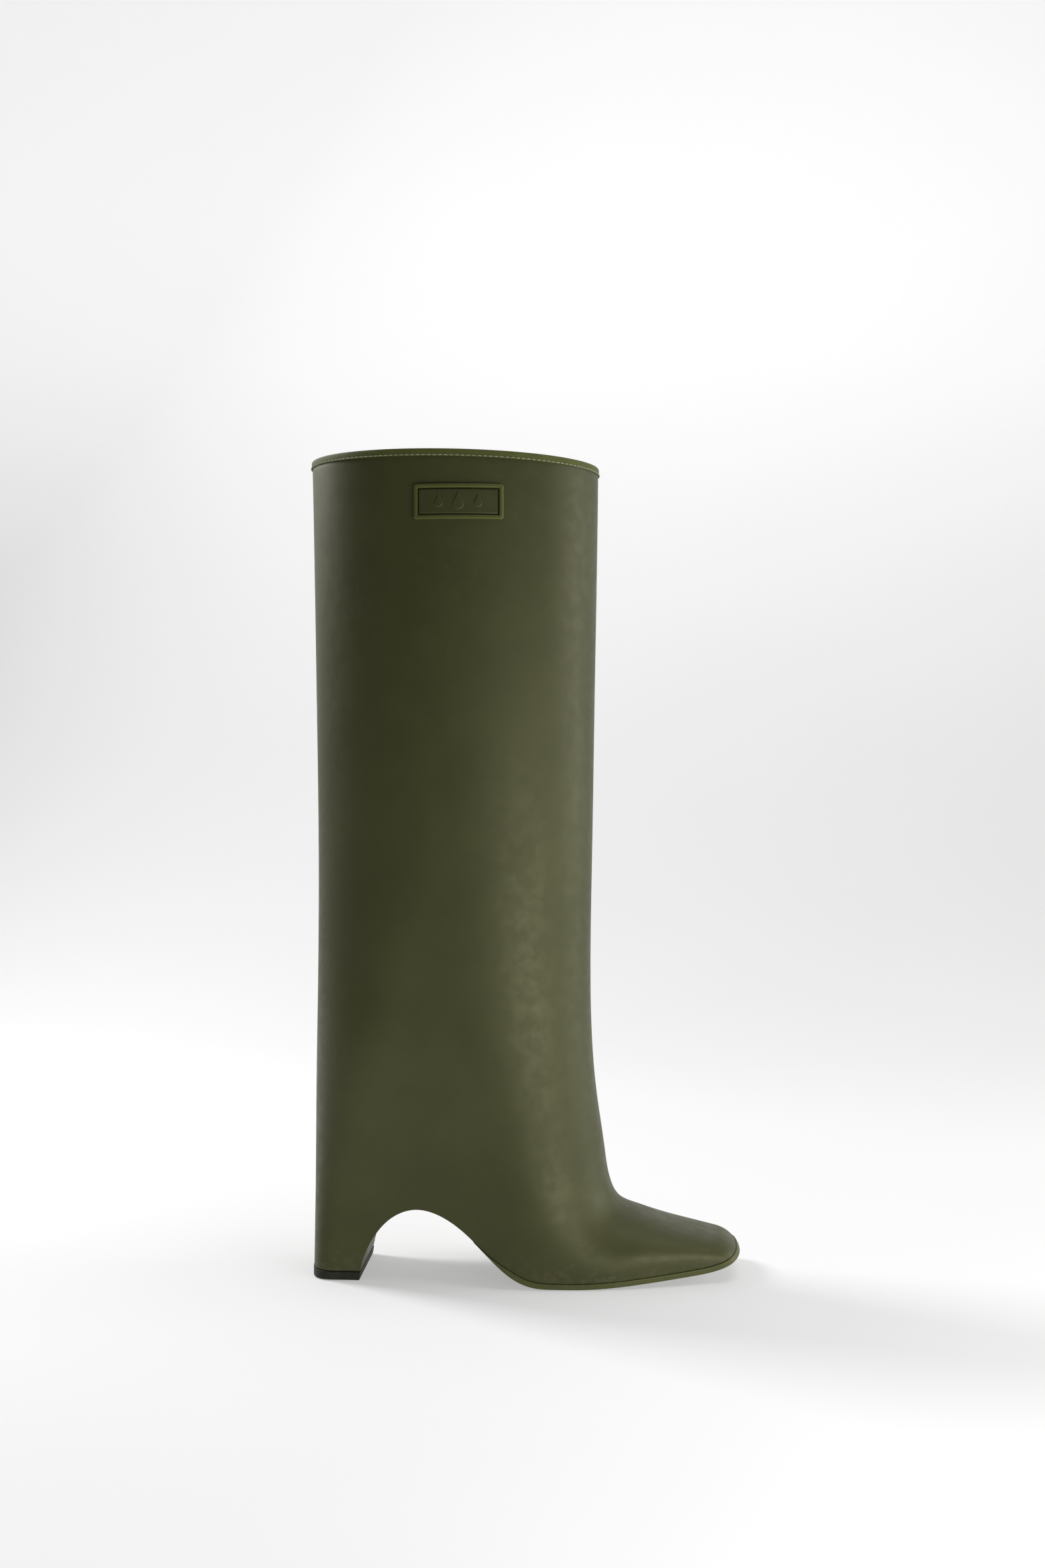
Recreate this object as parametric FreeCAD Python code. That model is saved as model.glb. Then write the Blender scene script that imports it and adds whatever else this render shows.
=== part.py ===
import FreeCAD, Part

import functools
import math
import os

from FreeCAD import Vector

# A tall rubber rain boot for the right foot, in millimetres.
# +X points at the toe, +Y at the inner side of the leg, +Z up. The origin is on the ground,
# midway along the boot's length and on its middle plane.

os.makedirs("parts", exist_ok=True)

# ---------------------------------------------------------------- driving dimensions

RIM_BACK = 453.2            # height of the top edge at the back
RIM_FRONT = 449.2           # and at the front
WALL = 2.8                  # rubber of the upper
LINING = 0.8                # knitted lining
FILM = 0.05                 # adhesive film between two pieces
SOLE = 3.2                  # outsole at the forefoot
SOLE_LIP = 0.5              # how far the outsole stands out of the upper
LIFT = 4.6                  # black wearing block under the heel
LIFT_LIP = 0.25
SOLE_SKIN = 1.8             # rubber between the outsole and the forefoot filler
ARCH_SKIN = 2.6             # rubber under the bridge and down the heel's front
BOARD = 1.6
FOAM = 3.0
COVER = 0.7
STIFFENER = 0.8             # toe puff and heel counter
BINDING = 0.5               # tape folded over the top edge
BINDING_DROP = 4.6
STITCH_DROP = 3.5
STITCH_LENGTH = 2.2
STITCH_PITCH = 3.0
THREAD_RADIUS = 0.32
LABEL_SIZE = (48.0, 19.0)
LABEL_CENTRE = (-33.5, 423.0)
LABEL_CORNER = 1.6
LABEL_FRAME = 2.4           # width of the label's raised border
LABEL_PROUD = 1.9
PANEL_PROUD = 1.2
MOTIF_PROUD = 1.65
GROOVE = 0.5                # between the label's border and its panel
LABEL_INNER_CORNERS = (0.6, 0.5)    # of the border's inside and of the panel
LABEL_REACH = 20.0          # the label's prisms stop this far short of the middle plane
TOE_FOAM = 1.8              # the foam is thinner under the toes
TOE_FOAM_ZONE = (60.0, 100.0)   # it thins out between these
DROP_SIZES = [2.0, 2.8, 2.0]    # radii of the three raindrops on the label
DROP_PITCH = 10.5
DROP_TALL = 2.3                 # height of a drop's point over its belly's middle, in radii
SHANK_WIDTH = 14.0
SHANK = 1.6
SHANK_BACK = -98.0
SHANK_FRONT = 14.0
RIVET_X = (-92.0, -6.0)
RIVET_RADIUS = 1.6
RIVET_HEAD = (3.2, 0.8)         # radius and height
RIVET_TAIL = 0.7                # below the shank
SCREW_PLACES = [(-103, 0), (-84, -15), (-84, 15), (-70, 0)]
SCREW_RADIUS = 1.8
SCREW_LENGTH = 24.0
SCREW_HEAD = (3.4, 1.4)
SCREW_SUNK = 0.15               # the heads lie this far below the board's top
PIN_X = (-111.0, -99.0)
PIN_RADIUS = 2.0
PIN_BOTTOM = 1.5
PIN_TOP = 24.0
HEEL_FRONT = -60.0              # everything behind this x belongs to the heel
CORE_FRONT = 2.0
FILLER_FRONT = 102.0
BOARD_FRONT = 111.0
FOOTBED_FRONT = 106.0
COUNTER_FRONT = -62.0
COUNTER_TOP = 132.0
COUNTER_EDGE = [(12, 32), (26, 6), (44, 0)]     # back from its front and down from its top
PUFF_BACK = 84.0
PUFF_TOP = 60.0                 # well above the toe
PUFF_SLOPE = 6.0                # how far its edge leans forward on the way up
LINING_SEAM = 125.0             # height of the seam between the foot and shaft linings
TAPE_WIDTH = 14.0
TAPE = 0.6
TAPE_ENDS = (130.0, 440.0)
TREAD_START = 12.0
TREAD_PITCH = 9.0
TREAD_GROOVE = 2.2
TREAD_GROOVES = 10
TREAD_DEPTH = 1.2
TREAD_MARGIN = 7.0
TREAD_EDGE = 8.0                # the grooves' prism starts this far behind the first groove
FAR = 140.0                 # beyond either end of the boot
TALL = 500.0                # above the boot
DEEP = -30.0                # below the boot
OVERLAP = 8.0               # how far one cutting shape reaches past the next
Y_REACH = 90.0              # half length of a prism across the boot

# Side view of the upper, x and z. The front line runs down the shaft, round the instep and
# along the vamp. The toe line closes it in front and the back line behind.
FRONT_LINE = [(40.9, 475), (40.0, 400), (38.6, 320), (37.3, 240), (36.3, 180), (36.9, 135),
              (39.7, 100), (44.2, 68), (48.0, 48.6), (52.6, 40.6), (62, 35.6), (76, 30.3),
              (92, 25.6), (108, 21.8), (126, 18)]
TOE_X = [(-12, 118.5), (0, 119.6), (8, 120.2), (16, 119.6), (26, 117.5), (40, 113), (60, 100)]
BACK_X = [(-12, -118.5), (0, -118.4), (50, -118.1), (110, -117.6), (170, -117.1), (230, -117.1),
          (300, -118.0), (380, -119.3), (430, -120.2), (475, -121.2)]

# How the section rounds off: the depth of the rounding behind the front line and before the
# back line, and the exponent of the rounding there (2 is an ellipse, more is squarer).
FRONT_DEPTH = [(18, 12), (25, 13.5), (30, 20), (35.6, 30), (40.6, 42), (48.6, 50), (68, 57),
               (100, 61), (135, 67), (180, 72), (240, 76), (320, 78), (475, 80.5)]
FRONT_POWER = [(18, 2.7), (25, 2.6), (35.6, 2.3), (48.6, 2.1), (100, 2.1), (180, 2.1), (320, 2.0),
               (475, 2.0)]
BACK_DEPTH = [(-12, 14), (0, 14), (50, 22), (110, 38), (170, 56), (230, 68), (300, 75), (380, 79),
              (475, 80.5)]
BACK_POWER = [(-12, 3.0), (0, 3.0), (50, 2.7), (110, 2.4), (170, 2.2), (230, 2.05), (300, 2.0),
              (475, 2.0)]
TOE_ROUND = 12.0
TOE_POWER = 2.4

# Half widths: of the foot's plan by x, and of the shaft by z. The plan gives way to the shaft
# between two heights.
PLAN_WIDTH = [(-125, 28), (-100, 28), (-80, 29), (-55, 33), (-30, 38), (0, 42.6), (18, 43.6),
              (40, 42.6), (62, 39.4), (85, 34.4), (105, 29.2), (125, 25)]
SHAFT_WIDTH = [(-12, 47), (60, 47), (150, 48.5), (200, 50.5), (300, 54), (400, 56.6), (475, 58)]
PLAN_TO_SHAFT = (8.0, 158.0)
RIDGE_HEIGHT = 20.0         # the forefoot's walls lean in below this height
TUCK = 2.2                  # by this much at the ground
TUCK_ZONE = (-30.0, 30.0)   # the lean comes in between these
TUCK_LIMIT = 1.4            # and grows no further below the ground
TOE_SHIFT = 5.0             # how far the toe turns towards the inner side
TURN_ZONE = (15.0, 135.0)   # over this length
TURN_HEIGHTS = (40.0, 140.0)    # and no longer above these heights

# The bridge: from the heel's front edge up over the arch and down to the ball, x and z
ARCH_LINE = [(-90.7, 0), (-88.6, 11), (-81.5, 25.4), (-70.5, 36.3), (-58, 40.3), (-45, 37.3),
             (-32, 29), (-17, 14.8), (-4, 4.4), (6, 0.7), (16, 0)]
# The outsole's underside from the ball to the toe
SPRING_LINE = [(16, 0), (36, 0), (54, 1.0), (75, 2.9), (92, 4.5), (103, 6.0), (111, 8.4),
               (117, 11.4), (124, 16.5)]
# The insole board's underside
BED_LINE = [(-124, 83), (-102, 82.5), (-82, 80.5), (-62, 74.5), (-45, 63), (-28, 46), (-12, 29.5),
            (3, 17), (16, 9.8), (32, 6.9), (54, 7.6), (75, 9.4), (92, 11.0), (104, 12.8), (126, 17)]
SOLE_FEATHER = -27.0        # the outsole thins out to nothing here
SOLE_FULL = -3.0            # and has its full thickness from here on
SOLE_EDGE = 0.02            # thickness of the feathered edge itself

# Heights of the horizontal sections that the upper is lofted through
LEVELS = (-12, -4, 4, 9, 13, 16, 18.5, 20.5, 22.5, 24.5, 26.5, 28.7, 31, 33.5, 36, 39, 43, 49, 58,
          72, 92, 118, 150, 190, 250, 320, 400, 462)
RIM_LEVELS = (432, 442, 452, 462)
LABEL_LEVELS = (403, 413, 423, 433, 443)
RING_STEPS = 32             # points on half a section
FINE_STEPS = 160            # points that it is first measured with
TURN_SHARE = 0.9            # how much its turning counts beside its length in spacing the points


# ---------------------------------------------------------------- curves

def smooth_function(points):
    """The natural cubic spline through the points, as a function of their first value."""
    xs = [p[0] for p in points]
    ys = [p[1] for p in points]
    last = len(xs) - 1
    step = [xs[i + 1] - xs[i] for i in range(last)]
    slope = [(ys[i + 1] - ys[i]) / step[i] for i in range(last)]
    ratio = [0.0] * (last + 1)
    bend = [0.0] * (last + 1)
    for i in range(1, last):
        pivot = 2 * (step[i - 1] + step[i]) - step[i - 1] * ratio[i - 1]
        ratio[i] = step[i] / pivot
        bend[i] = (6 * (slope[i] - slope[i - 1]) - step[i - 1] * bend[i - 1]) / pivot
    for i in range(last - 1, 0, -1):
        bend[i] -= ratio[i] * bend[i + 1]

    def value(x):
        x = min(max(x, xs[0]), xs[-1])
        i = 0
        while i < last - 1 and x > xs[i + 1]:
            i += 1
        a = xs[i + 1] - x
        b = x - xs[i]
        h = step[i]
        cubic = (bend[i] * a ** 3 + bend[i + 1] * b ** 3) / (6 * h)
        return cubic + (ys[i] / h - bend[i] * h / 6) * a + (ys[i + 1] / h - bend[i + 1] * h / 6) * b

    return value


def ease_between(value, low, high):
    """0 up to low and 1 from high on, with no slope and no bend at either end."""
    t = min(max((value - low) / (high - low), 0.0), 1.0)
    return t * t * t * (t * (6 * t - 15) + 10)


def side_curve(points):
    """The spline through x, z points, in the boot's middle plane."""
    curve = Part.BSplineCurve()
    curve.interpolate([Vector(x, 0, z) for x, z in points])
    return curve


front_curve = side_curve(FRONT_LINE)
toe_x = smooth_function(TOE_X)
back_x = smooth_function(BACK_X)
front_depth = smooth_function(FRONT_DEPTH)
front_power = smooth_function(FRONT_POWER)
back_depth = smooth_function(BACK_DEPTH)
back_power = smooth_function(BACK_POWER)
plan_width = smooth_function(PLAN_WIDTH)
shaft_width = smooth_function(SHAFT_WIDTH)
under_curve = side_curve(ARCH_LINE + SPRING_LINE[1:])
bed_curve = side_curve(BED_LINE)


# ---------------------------------------------------------------- the boot's form

def front_rounding(x, z, inset):
    """0 behind the front's rounding, 1 on the front and toe lines, and the power there."""
    point = Vector(x, 0, z)
    u = front_curve.parameter(point)
    foot = front_curve.value(u)
    along = front_curve.tangent(u)[0]
    inside = along.x * (z - foot.z) - along.z * (x - foot.x) <= 0
    depth = (point - foot).Length * (1 if inside else -1) - inset
    vamp = max(1 - depth / (front_depth(foot.z) - inset), 0.0)
    toe = max(1 - (toe_x(z) - inset - x) / (TOE_ROUND - inset), 0.0)
    return (vamp ** TOE_POWER + toe ** TOE_POWER) ** (1 / TOE_POWER), front_power(foot.z)


def half_width(x, z, inset):
    """Half the upper's width at a place in the side view."""
    front, power = front_rounding(x, z, inset)
    back = max(1 - (x - back_x(z) - inset) / (back_depth(z) - inset), 0.0)
    heel_power = back_power(z)
    width = plan_width(x) + (shaft_width(z) - plan_width(x)) * ease_between(z, *PLAN_TO_SHAFT)
    lean = min(max((RIDGE_HEIGHT - z) / RIDGE_HEIGHT, 0.0), TUCK_LIMIT)
    width -= TUCK * lean ** 2 * ease_between(x, *TUCK_ZONE) + inset
    width *= max(1 - front ** power, 0.0) ** (1 / power)
    return width * max(1 - back ** heel_power, 0.0) ** (1 / heel_power)


def middle_y(x, z):
    """The middle of the section: the toe turns towards the inner side."""
    return TOE_SHIFT * ease_between(x, *TURN_ZONE) * (1 - ease_between(z, *TURN_HEIGHTS))


def front_end(z, inset):
    """Where a section ends in front."""
    inner = back_x(z) + back_depth(z)
    outer = FAR
    for _ in range(34):
        middle = (inner + outer) / 2
        if front_rounding(middle, z, inset)[0] < 1:
            inner = middle
        else:
            outer = middle
    return inner


def section(z, inset):
    """Half a horizontal section, back to front, as x and half width. Its points are closer
    together where it turns."""
    start = back_x(z) + inset
    end = front_end(z, inset)
    dense = []
    for i in range(FINE_STEPS + 1):
        x = start + (end - start) * (1 - math.cos(math.pi * i / FINE_STEPS)) / 2
        dense.append((x, half_width(x, z, inset) if 0 < i < FINE_STEPS else 0.0))
    runs = [math.dist(dense[i], dense[i + 1]) for i in range(FINE_STEPS)]
    headings = [math.atan2(dense[i + 1][1] - dense[i][1], dense[i + 1][0] - dense[i][0])
                for i in range(FINE_STEPS)]
    turns = [abs(headings[0] - math.pi / 2)]
    turns += [abs(headings[i + 1] - headings[i]) for i in range(FINE_STEPS - 1)]
    measure = [0.0]
    for run, turn in zip(runs, turns):
        measure.append(measure[-1] + run / sum(runs) + TURN_SHARE * turn / sum(turns))
    points = []
    i = 0
    for k in range(RING_STEPS + 1):
        goal = measure[-1] * k / RING_STEPS
        while i < FINE_STEPS - 1 and measure[i + 1] < goal:
            i += 1
        part = min((goal - measure[i]) / (measure[i + 1] - measure[i]), 1.0)
        points.append((dense[i][0] + (dense[i + 1][0] - dense[i][0]) * part,
                       dense[i][1] + (dense[i + 1][1] - dense[i][1]) * part))
    return points


def section_curve(z, inset):
    """A whole horizontal section as one closed, smooth curve. It starts at the back and runs
    forward along the outer side."""
    half = section(z, inset)
    ring = [Vector(x, middle_y(x, z) - width, z) for x, width in half]
    ring += [Vector(x, middle_y(x, z) + width, z) for x, width in reversed(half[1:-1])]
    curve = Part.BSplineCurve()
    curve.interpolate(Points=ring, PeriodicFlag=True,
                      Parameters=[float(i) for i in range(len(ring) + 1)])
    return curve


def form_surface(inset, levels):
    """The smooth surface through the sections: each row of control points of the section
    curves is carried up the boot by a curve of its own."""
    rows = [section_curve(z, inset) for z in levels]
    heights = [0.0]
    for low, high in zip(levels, levels[1:]):
        heights.append(heights[-1] + math.sqrt(high - low))
    columns = []
    for row in zip(*[curve.getPoles() for curve in rows]):
        column = Part.BSplineCurve()
        column.interpolate(Points=list(row), Parameters=heights)
        columns.append(column)
    surface = Part.BSplineSurface()
    surface.buildFromPolesMultsKnots([column.getPoles() for column in columns],
                                     rows[0].getMultiplicities(), columns[0].getMultiplicities(),
                                     rows[0].getKnots(), columns[0].getKnots(),
                                     True, False, rows[0].Degree, columns[0].Degree)
    return surface


@functools.cache
def form(inset, levels=LEVELS):
    """The upper's outer form, drawn in by a distance, as a solid: an outer side, an inner side
    and two flat ends."""
    surface = form_surface(inset, levels)
    back, around, low, high = surface.bounds()
    front = (back + around) / 2
    faces = [surface.toShape(back, front, low, high), surface.toShape(front, around, low, high)]
    for level in (low, high):
        rim = surface.vIso(level)
        faces.append(Part.Face(Part.Wire([rim.toShape(back, front), rim.toShape(front, around)])))
    shell = Part.makeShell(faces)
    shell.sewShape()
    solid = Part.Solid(shell)
    if solid.Volume < 0:
        solid.reverse()
    return solid


def layer(outer, inner, zone, levels=LEVELS):
    """The part of the form between two insets that lies in a zone."""
    return form(outer, levels).common(zone).cut(form(inner, levels))


# ---------------------------------------------------------------- prisms across the boot

def corner(x, z):
    return Vector(x, 0, z)


def prism(*stretches, y_low=-Y_REACH, y_high=Y_REACH):
    """A side-view outline carried across the boot. A stretch of the outline is one x, z point
    or a list of points for a spline; straight lines join the stretches."""
    edges = []
    ends = []
    for stretch in stretches:
        if isinstance(stretch, list):
            edges.append(side_curve(stretch).toShape())
            ends.append((stretch[0], stretch[-1]))
        else:
            ends.append((stretch, stretch))
    for this, following in zip(ends, ends[1:] + ends[:1]):
        if math.dist(this[1], following[0]) > 1e-4:
            edges.append(Part.makeLine(corner(*this[1]), corner(*following[0])))
    face = Part.Face(Part.Wire(Part.__sortEdges__(edges)))
    face.translate(Vector(0, y_low, 0))
    return face.extrude(Vector(0, y_high - y_low, 0))


def block(x_low, x_high, z_low, z_high, y_low=-Y_REACH, y_high=Y_REACH):
    return Part.makeBox(x_high - x_low, y_high - y_low, z_high - z_low, Vector(x_low, y_low, z_low))


def raised(curve, thickness, count=48, x_from=-FAR):
    """Points along a side curve, each moved off it by the thickness at its x."""
    points = []
    for i in range(count + 1):
        u = curve.FirstParameter + (curve.LastParameter - curve.FirstParameter) * i / count
        p = curve.value(u)
        if p.x >= x_from:
            along = curve.tangent(u)[0]
            shift = thickness(p.x)
            points.append((p.x - along.z * shift, p.z + along.x * shift))
    return points


def between(lower, upper, **reach):
    return prism(lower, upper[::-1], **reach)


def above(points):
    return prism(points, (FAR, points[-1][1]), (FAR, TALL), (-FAR, TALL), (-FAR, points[0][1]))


def rim_height(x):
    share = (x - back_x(RIM_BACK)) / (FRONT_LINE[0][0] - back_x(RIM_BACK))
    return RIM_BACK + (RIM_FRONT - RIM_BACK) * share


def under_rim(depth):
    """The two far ends of a line that runs along the top edge, a depth below it."""
    return (FAR, rim_height(FAR) - depth), (-FAR, rim_height(-FAR) - depth)


def rim_band(high, low):
    """A slab along the top edge, from one depth below the edge to another."""
    return prism(*under_rim(high), *reversed(under_rim(low)))


def sole_thickness(x):
    return SOLE * ease_between(x, SOLE_FEATHER, SOLE_FULL)


def skin_thickness(x):
    return ARCH_SKIN + (SOLE_SKIN - ARCH_SKIN) * ease_between(x, SOLE_FEATHER, SOLE_FULL)


def foam_thickness(x):
    return FOAM + (TOE_FOAM - FOAM) * ease_between(x, *TOE_FOAM_ZONE)


def bed(height):
    """Points a constant height off the insole board's underside."""
    return raised(bed_curve, lambda x: height)


# ---------------------------------------------------------------- pieces

def boot_shell():
    """The moulded upper: shaft, foot, bridge and heel sleeve in one piece. The heel sleeve is
    open at the bottom for the core, and the wall is recessed for the two stiffeners."""
    outer_line = raised(under_curve, sole_thickness)
    side = prism(outer_line, (FAR, outer_line[-1][1]), *under_rim(BINDING + FILM), (-FAR, 0))
    shell = form(0).common(side).cut(block(-FAR, HEEL_FRONT, DEEP, LIFT + FILM))
    inner_line = raised(under_curve, lambda x: sole_thickness(x) + skin_thickness(x))
    mouth = (inner_line[0][0], DEEP)
    room = prism(mouth, inner_line, (FAR, inner_line[-1][1]), (FAR, TALL), (-FAR, TALL), (-FAR, DEEP))
    shell = shell.cut(form(WALL).common(room))
    shell = shell.cut(form(WALL - STIFFENER).common(counter_zone(FILM)))
    return shell.cut(form(WALL - STIFFENER).common(puff_zone(FILM)))


def counter_zone(margin):
    """Where the heel counter lies: round the back of the foot, lower towards the front."""
    foot = bed(BOARD + FILM - margin)
    back = [p for p in foot if p[0] < COUNTER_FRONT + margin]
    top = COUNTER_TOP + margin
    edge = [back[-1]] + [(COUNTER_FRONT - x, top - z) for x, z in COUNTER_EDGE]
    return prism(back, edge, (-FAR, top))


def puff_zone(margin):
    """Where the toe puff lies: the toe's walls and top in front of a curved edge."""
    foot = [p for p in bed(BOARD + FILM - margin) if p[0] > PUFF_BACK - margin]
    return prism(foot, (FAR, foot[-1][1]), (FAR, PUFF_TOP),
                 (PUFF_BACK + PUFF_SLOPE - margin, PUFF_TOP))


def heel_counter():
    return layer(WALL - STIFFENER + FILM, WALL, counter_zone(0))


def toe_puff():
    return layer(WALL - STIFFENER + FILM, WALL, puff_zone(0))


def outsole():
    """The forefoot's sole unit, feathered out at the waist, with grooves across the tread."""
    lower = raised(under_curve, lambda x: 0, x_from=SOLE_FEATHER)
    upper = raised(under_curve, lambda x: max(sole_thickness(x) - FILM, SOLE_EDGE), x_from=SOLE_FEATHER)
    sole = form(-SOLE_LIP).common(between(lower, upper))
    depth = raised(under_curve, lambda x: TREAD_DEPTH, x_from=TREAD_START - TREAD_EDGE)
    grooved = prism(depth, (depth[-1][0], DEEP), (depth[0][0], DEEP))
    for i in range(TREAD_GROOVES):
        x = TREAD_START + i * TREAD_PITCH
        reach = half_width(x, RIDGE_HEIGHT / 2, 0) - TREAD_MARGIN
        y = middle_y(x, 0)
        groove = block(x, x + TREAD_GROOVE, DEEP, TALL, y - reach, y + reach)
        sole = sole.cut(grooved.common(groove))
    return sole


def top_lift():
    """The black wearing block, with blind holes for its pins."""
    heel = above(raised(under_curve, lambda x: -LIFT_LIP))
    lift = form(-LIFT_LIP).common(heel).common(block(-FAR, HEEL_FRONT, 0, LIFT))
    for pin in pins(FILM):
        lift = lift.cut(pin)
    return lift


def pins(clearance):
    """The steel pins that hold the wearing block on the core."""
    height = PIN_TOP - PIN_BOTTOM + 2 * clearance
    return [Part.makeCylinder(PIN_RADIUS + clearance, height, Vector(x, 0, PIN_BOTTOM - clearance))
            for x in PIN_X]


def bed_point(x):
    """The point of the board's underside at x, and the direction along it."""
    low = bed_curve.FirstParameter
    high = bed_curve.LastParameter
    for _ in range(30):
        middle = (low + high) / 2
        if bed_curve.value(middle).x < x:
            low = middle
        else:
            high = middle
    return bed_curve.value(low), bed_curve.tangent(low)[0]


def on_bed(x, y, shape):
    """A shape made round +Z at the origin, stood square on the board's underside at x, y."""
    point, along = bed_point(x)
    placed = shape.copy()
    placed.Placement = FreeCAD.Placement(point + Vector(0, y, 0),
                                         FreeCAD.Rotation(Vector(1, 0, 0), along))
    return placed


def shank_strip(margin):
    """The steel strip under the board, from the heel seat to the ball."""
    lower = [p for p in bed(-SHANK - FILM - margin) if SHANK_BACK - margin < p[0] < SHANK_FRONT + margin]
    upper = [p for p in bed(margin - FILM) if SHANK_BACK - margin < p[0] < SHANK_FRONT + margin]
    reach = SHANK_WIDTH / 2 + margin
    return between(lower, upper, y_low=-reach, y_high=reach)


def rivets(clearance):
    """Rivets through the shank and the board, with their heads on the board."""
    shapes = []
    for x in RIVET_X:
        depth = SHANK + FILM + RIVET_TAIL + clearance
        shaft = Part.makeCylinder(RIVET_RADIUS + clearance, depth + BOARD + RIVET_HEAD[1],
                                  Vector(0, 0, -depth))
        head = Part.makeCylinder(RIVET_HEAD[0] + clearance, RIVET_HEAD[1] + clearance,
                                 Vector(0, 0, BOARD))
        shapes.append(on_bed(x, 0, shaft.fuse(head)))
    return shapes


def screws(clearance):
    """Countersunk screws through the board into the core. With a clearance they are the holes,
    which are open upwards."""
    radius, height = SCREW_HEAD
    top = BOARD - SCREW_SUNK
    shapes = []
    for x, y in SCREW_PLACES:
        shaft = Part.makeCylinder(SCREW_RADIUS + clearance, SCREW_LENGTH + clearance,
                                  Vector(0, 0, top - SCREW_LENGTH - clearance))
        head = Part.makeCone(SCREW_RADIUS + clearance, radius + clearance, height,
                             Vector(0, 0, top - height))
        screw = shaft.fuse(head)
        if clearance:
            screw = screw.fuse(Part.makeCylinder(radius + clearance, 2 * BOARD, Vector(0, 0, top)))
        shapes.append(on_bed(x, y, screw))
    return shapes


def shank():
    strip = shank_strip(0)
    for rivet in rivets(FILM) + screws(FILM):
        strip = strip.cut(rivet)
    return strip


def core_line(x_from, x_to):
    """The core's and the filler's underside, just off the shell's bottom skin."""
    line = raised(under_curve, lambda x: sole_thickness(x) + skin_thickness(x) + FILM)
    return [p for p in line if x_from < p[0] < x_to]


def heel_core():
    """The rigid core of the heel and the bridge, from the wearing block up to the board."""
    lower = core_line(-FAR, CORE_FRONT + OVERLAP)
    upper = [p for p in bed(-FILM) if p[0] < CORE_FRONT + OVERLAP]
    side = prism((lower[0][0], DEEP), lower, upper[::-1], (-FAR, upper[0][1]), (-FAR, DEEP))
    core = form(WALL + FILM).common(side).common(block(-FAR, CORE_FRONT, LIFT + FILM, TALL))
    core = core.cut(shank_strip(FILM))
    for fastener in screws(FILM) + pins(FILM) + rivets(FILM):
        core = core.cut(fastener)
    return core


def forefoot_filler():
    upper = [p for p in bed(-FILM) if CORE_FRONT - OVERLAP < p[0] < FILLER_FRONT]
    side = between(core_line(CORE_FRONT - OVERLAP, FILLER_FRONT), upper)
    filler = form(WALL + FILM).common(side).common(block(CORE_FRONT + FILM, FAR, DEEP, TALL))
    return filler.cut(shank_strip(FILM))


def insole_board():
    room = between(bed(0), bed(BOARD)).common(block(-FAR, BOARD_FRONT, DEEP, TALL))
    board = form(WALL + FILM).common(room)
    for fastener in screws(FILM) + rivets(FILM):
        board = board.cut(fastener)
    return board


def insole_layer(bottom, top):
    """A layer of the footbed inside the lining, between two heights off the bed."""
    lower = raised(bed_curve, bottom)
    upper = raised(bed_curve, top)
    bed_room = between(lower, upper).common(block(-FAR, FOOTBED_FRONT, DEEP, TALL))
    return form(WALL + LINING + 2 * FILM).common(bed_room)


def insole_foam():
    start = BOARD + FILM
    foam = insole_layer(lambda x: start, lambda x: start + foam_thickness(x))
    for rivet in rivets(FILM):
        foam = foam.cut(rivet)
    return foam


def insole_cover():
    start = BOARD + 2 * FILM
    return insole_layer(lambda x: start + foam_thickness(x),
                        lambda x: start + foam_thickness(x) + COVER)


def lining(zone):
    return layer(WALL + FILM, WALL + FILM + LINING, zone)


def foot_lining():
    return lining(above(bed(BOARD + FILM)).common(block(-FAR, FAR, DEEP, LINING_SEAM)))


def shaft_lining():
    start = LINING_SEAM + FILM
    return lining(prism((-FAR, start), (FAR, start), *under_rim(BINDING + FILM)))


def backstay_tape():
    """The tape over the seam down the back of the shaft lining."""
    low, high = TAPE_ENDS
    start = WALL + LINING + 2 * FILM
    zone = block(-FAR, 0, low, high, -TAPE_WIDTH / 2, TAPE_WIDTH / 2)
    return layer(start, start + TAPE, zone)


def rim_binding():
    """The tape folded over the top edge of the shell and its lining."""
    inner_face = WALL + LINING + 2 * FILM
    wrap = layer(-BINDING, inner_face + BINDING, rim_band(0, BINDING_DROP), RIM_LEVELS)
    return wrap.cut(layer(-FILM, inner_face, rim_band(BINDING, 2 * BINDING_DROP), RIM_LEVELS))


def rim_stitching():
    """A row of lock stitches outside and one inside, each stitch a short length of thread."""
    stitches = []
    inner_face = WALL + LINING + 2 * FILM + BINDING
    for inset in (-BINDING - THREAD_RADIUS - FILM, inner_face + THREAD_RADIUS + FILM):
        half = section(RIM_FRONT - STITCH_DROP, inset)
        ring = [Vector(x, -width, 0) for x, width in half]
        ring += [Vector(x, width, 0) for x, width in reversed(half[1:-1])]
        line = Part.makePolygon(ring + ring[:1])
        count = round(line.Length / STITCH_PITCH)
        marks = line.discretize(Number=4 * count + 1)
        for i in range(count):
            start = marks[4 * i]
            end = marks[4 * i + 3]
            lift = Vector(0, 0, rim_height(start.x) - STITCH_DROP)
            stitches.append(Part.makeCylinder(THREAD_RADIUS, STITCH_LENGTH, start + lift, end - start))
    return Part.makeCompound(stitches)


def label_block(inset, corner_radius):
    """The label's rounded rectangle, drawn in by a distance, as a prism on the outer side."""
    width = LABEL_SIZE[0] / 2 - inset
    height = LABEL_SIZE[1] / 2 - inset
    x, z = LABEL_CENTRE
    shape = block(x - width, x + width, z - height, z + height, -Y_REACH, -LABEL_REACH)
    edges = [e for e in shape.Edges if abs(e.tangentAt(e.FirstParameter).y) > 0.9]
    return shape.makeFillet(corner_radius, edges)


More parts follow.
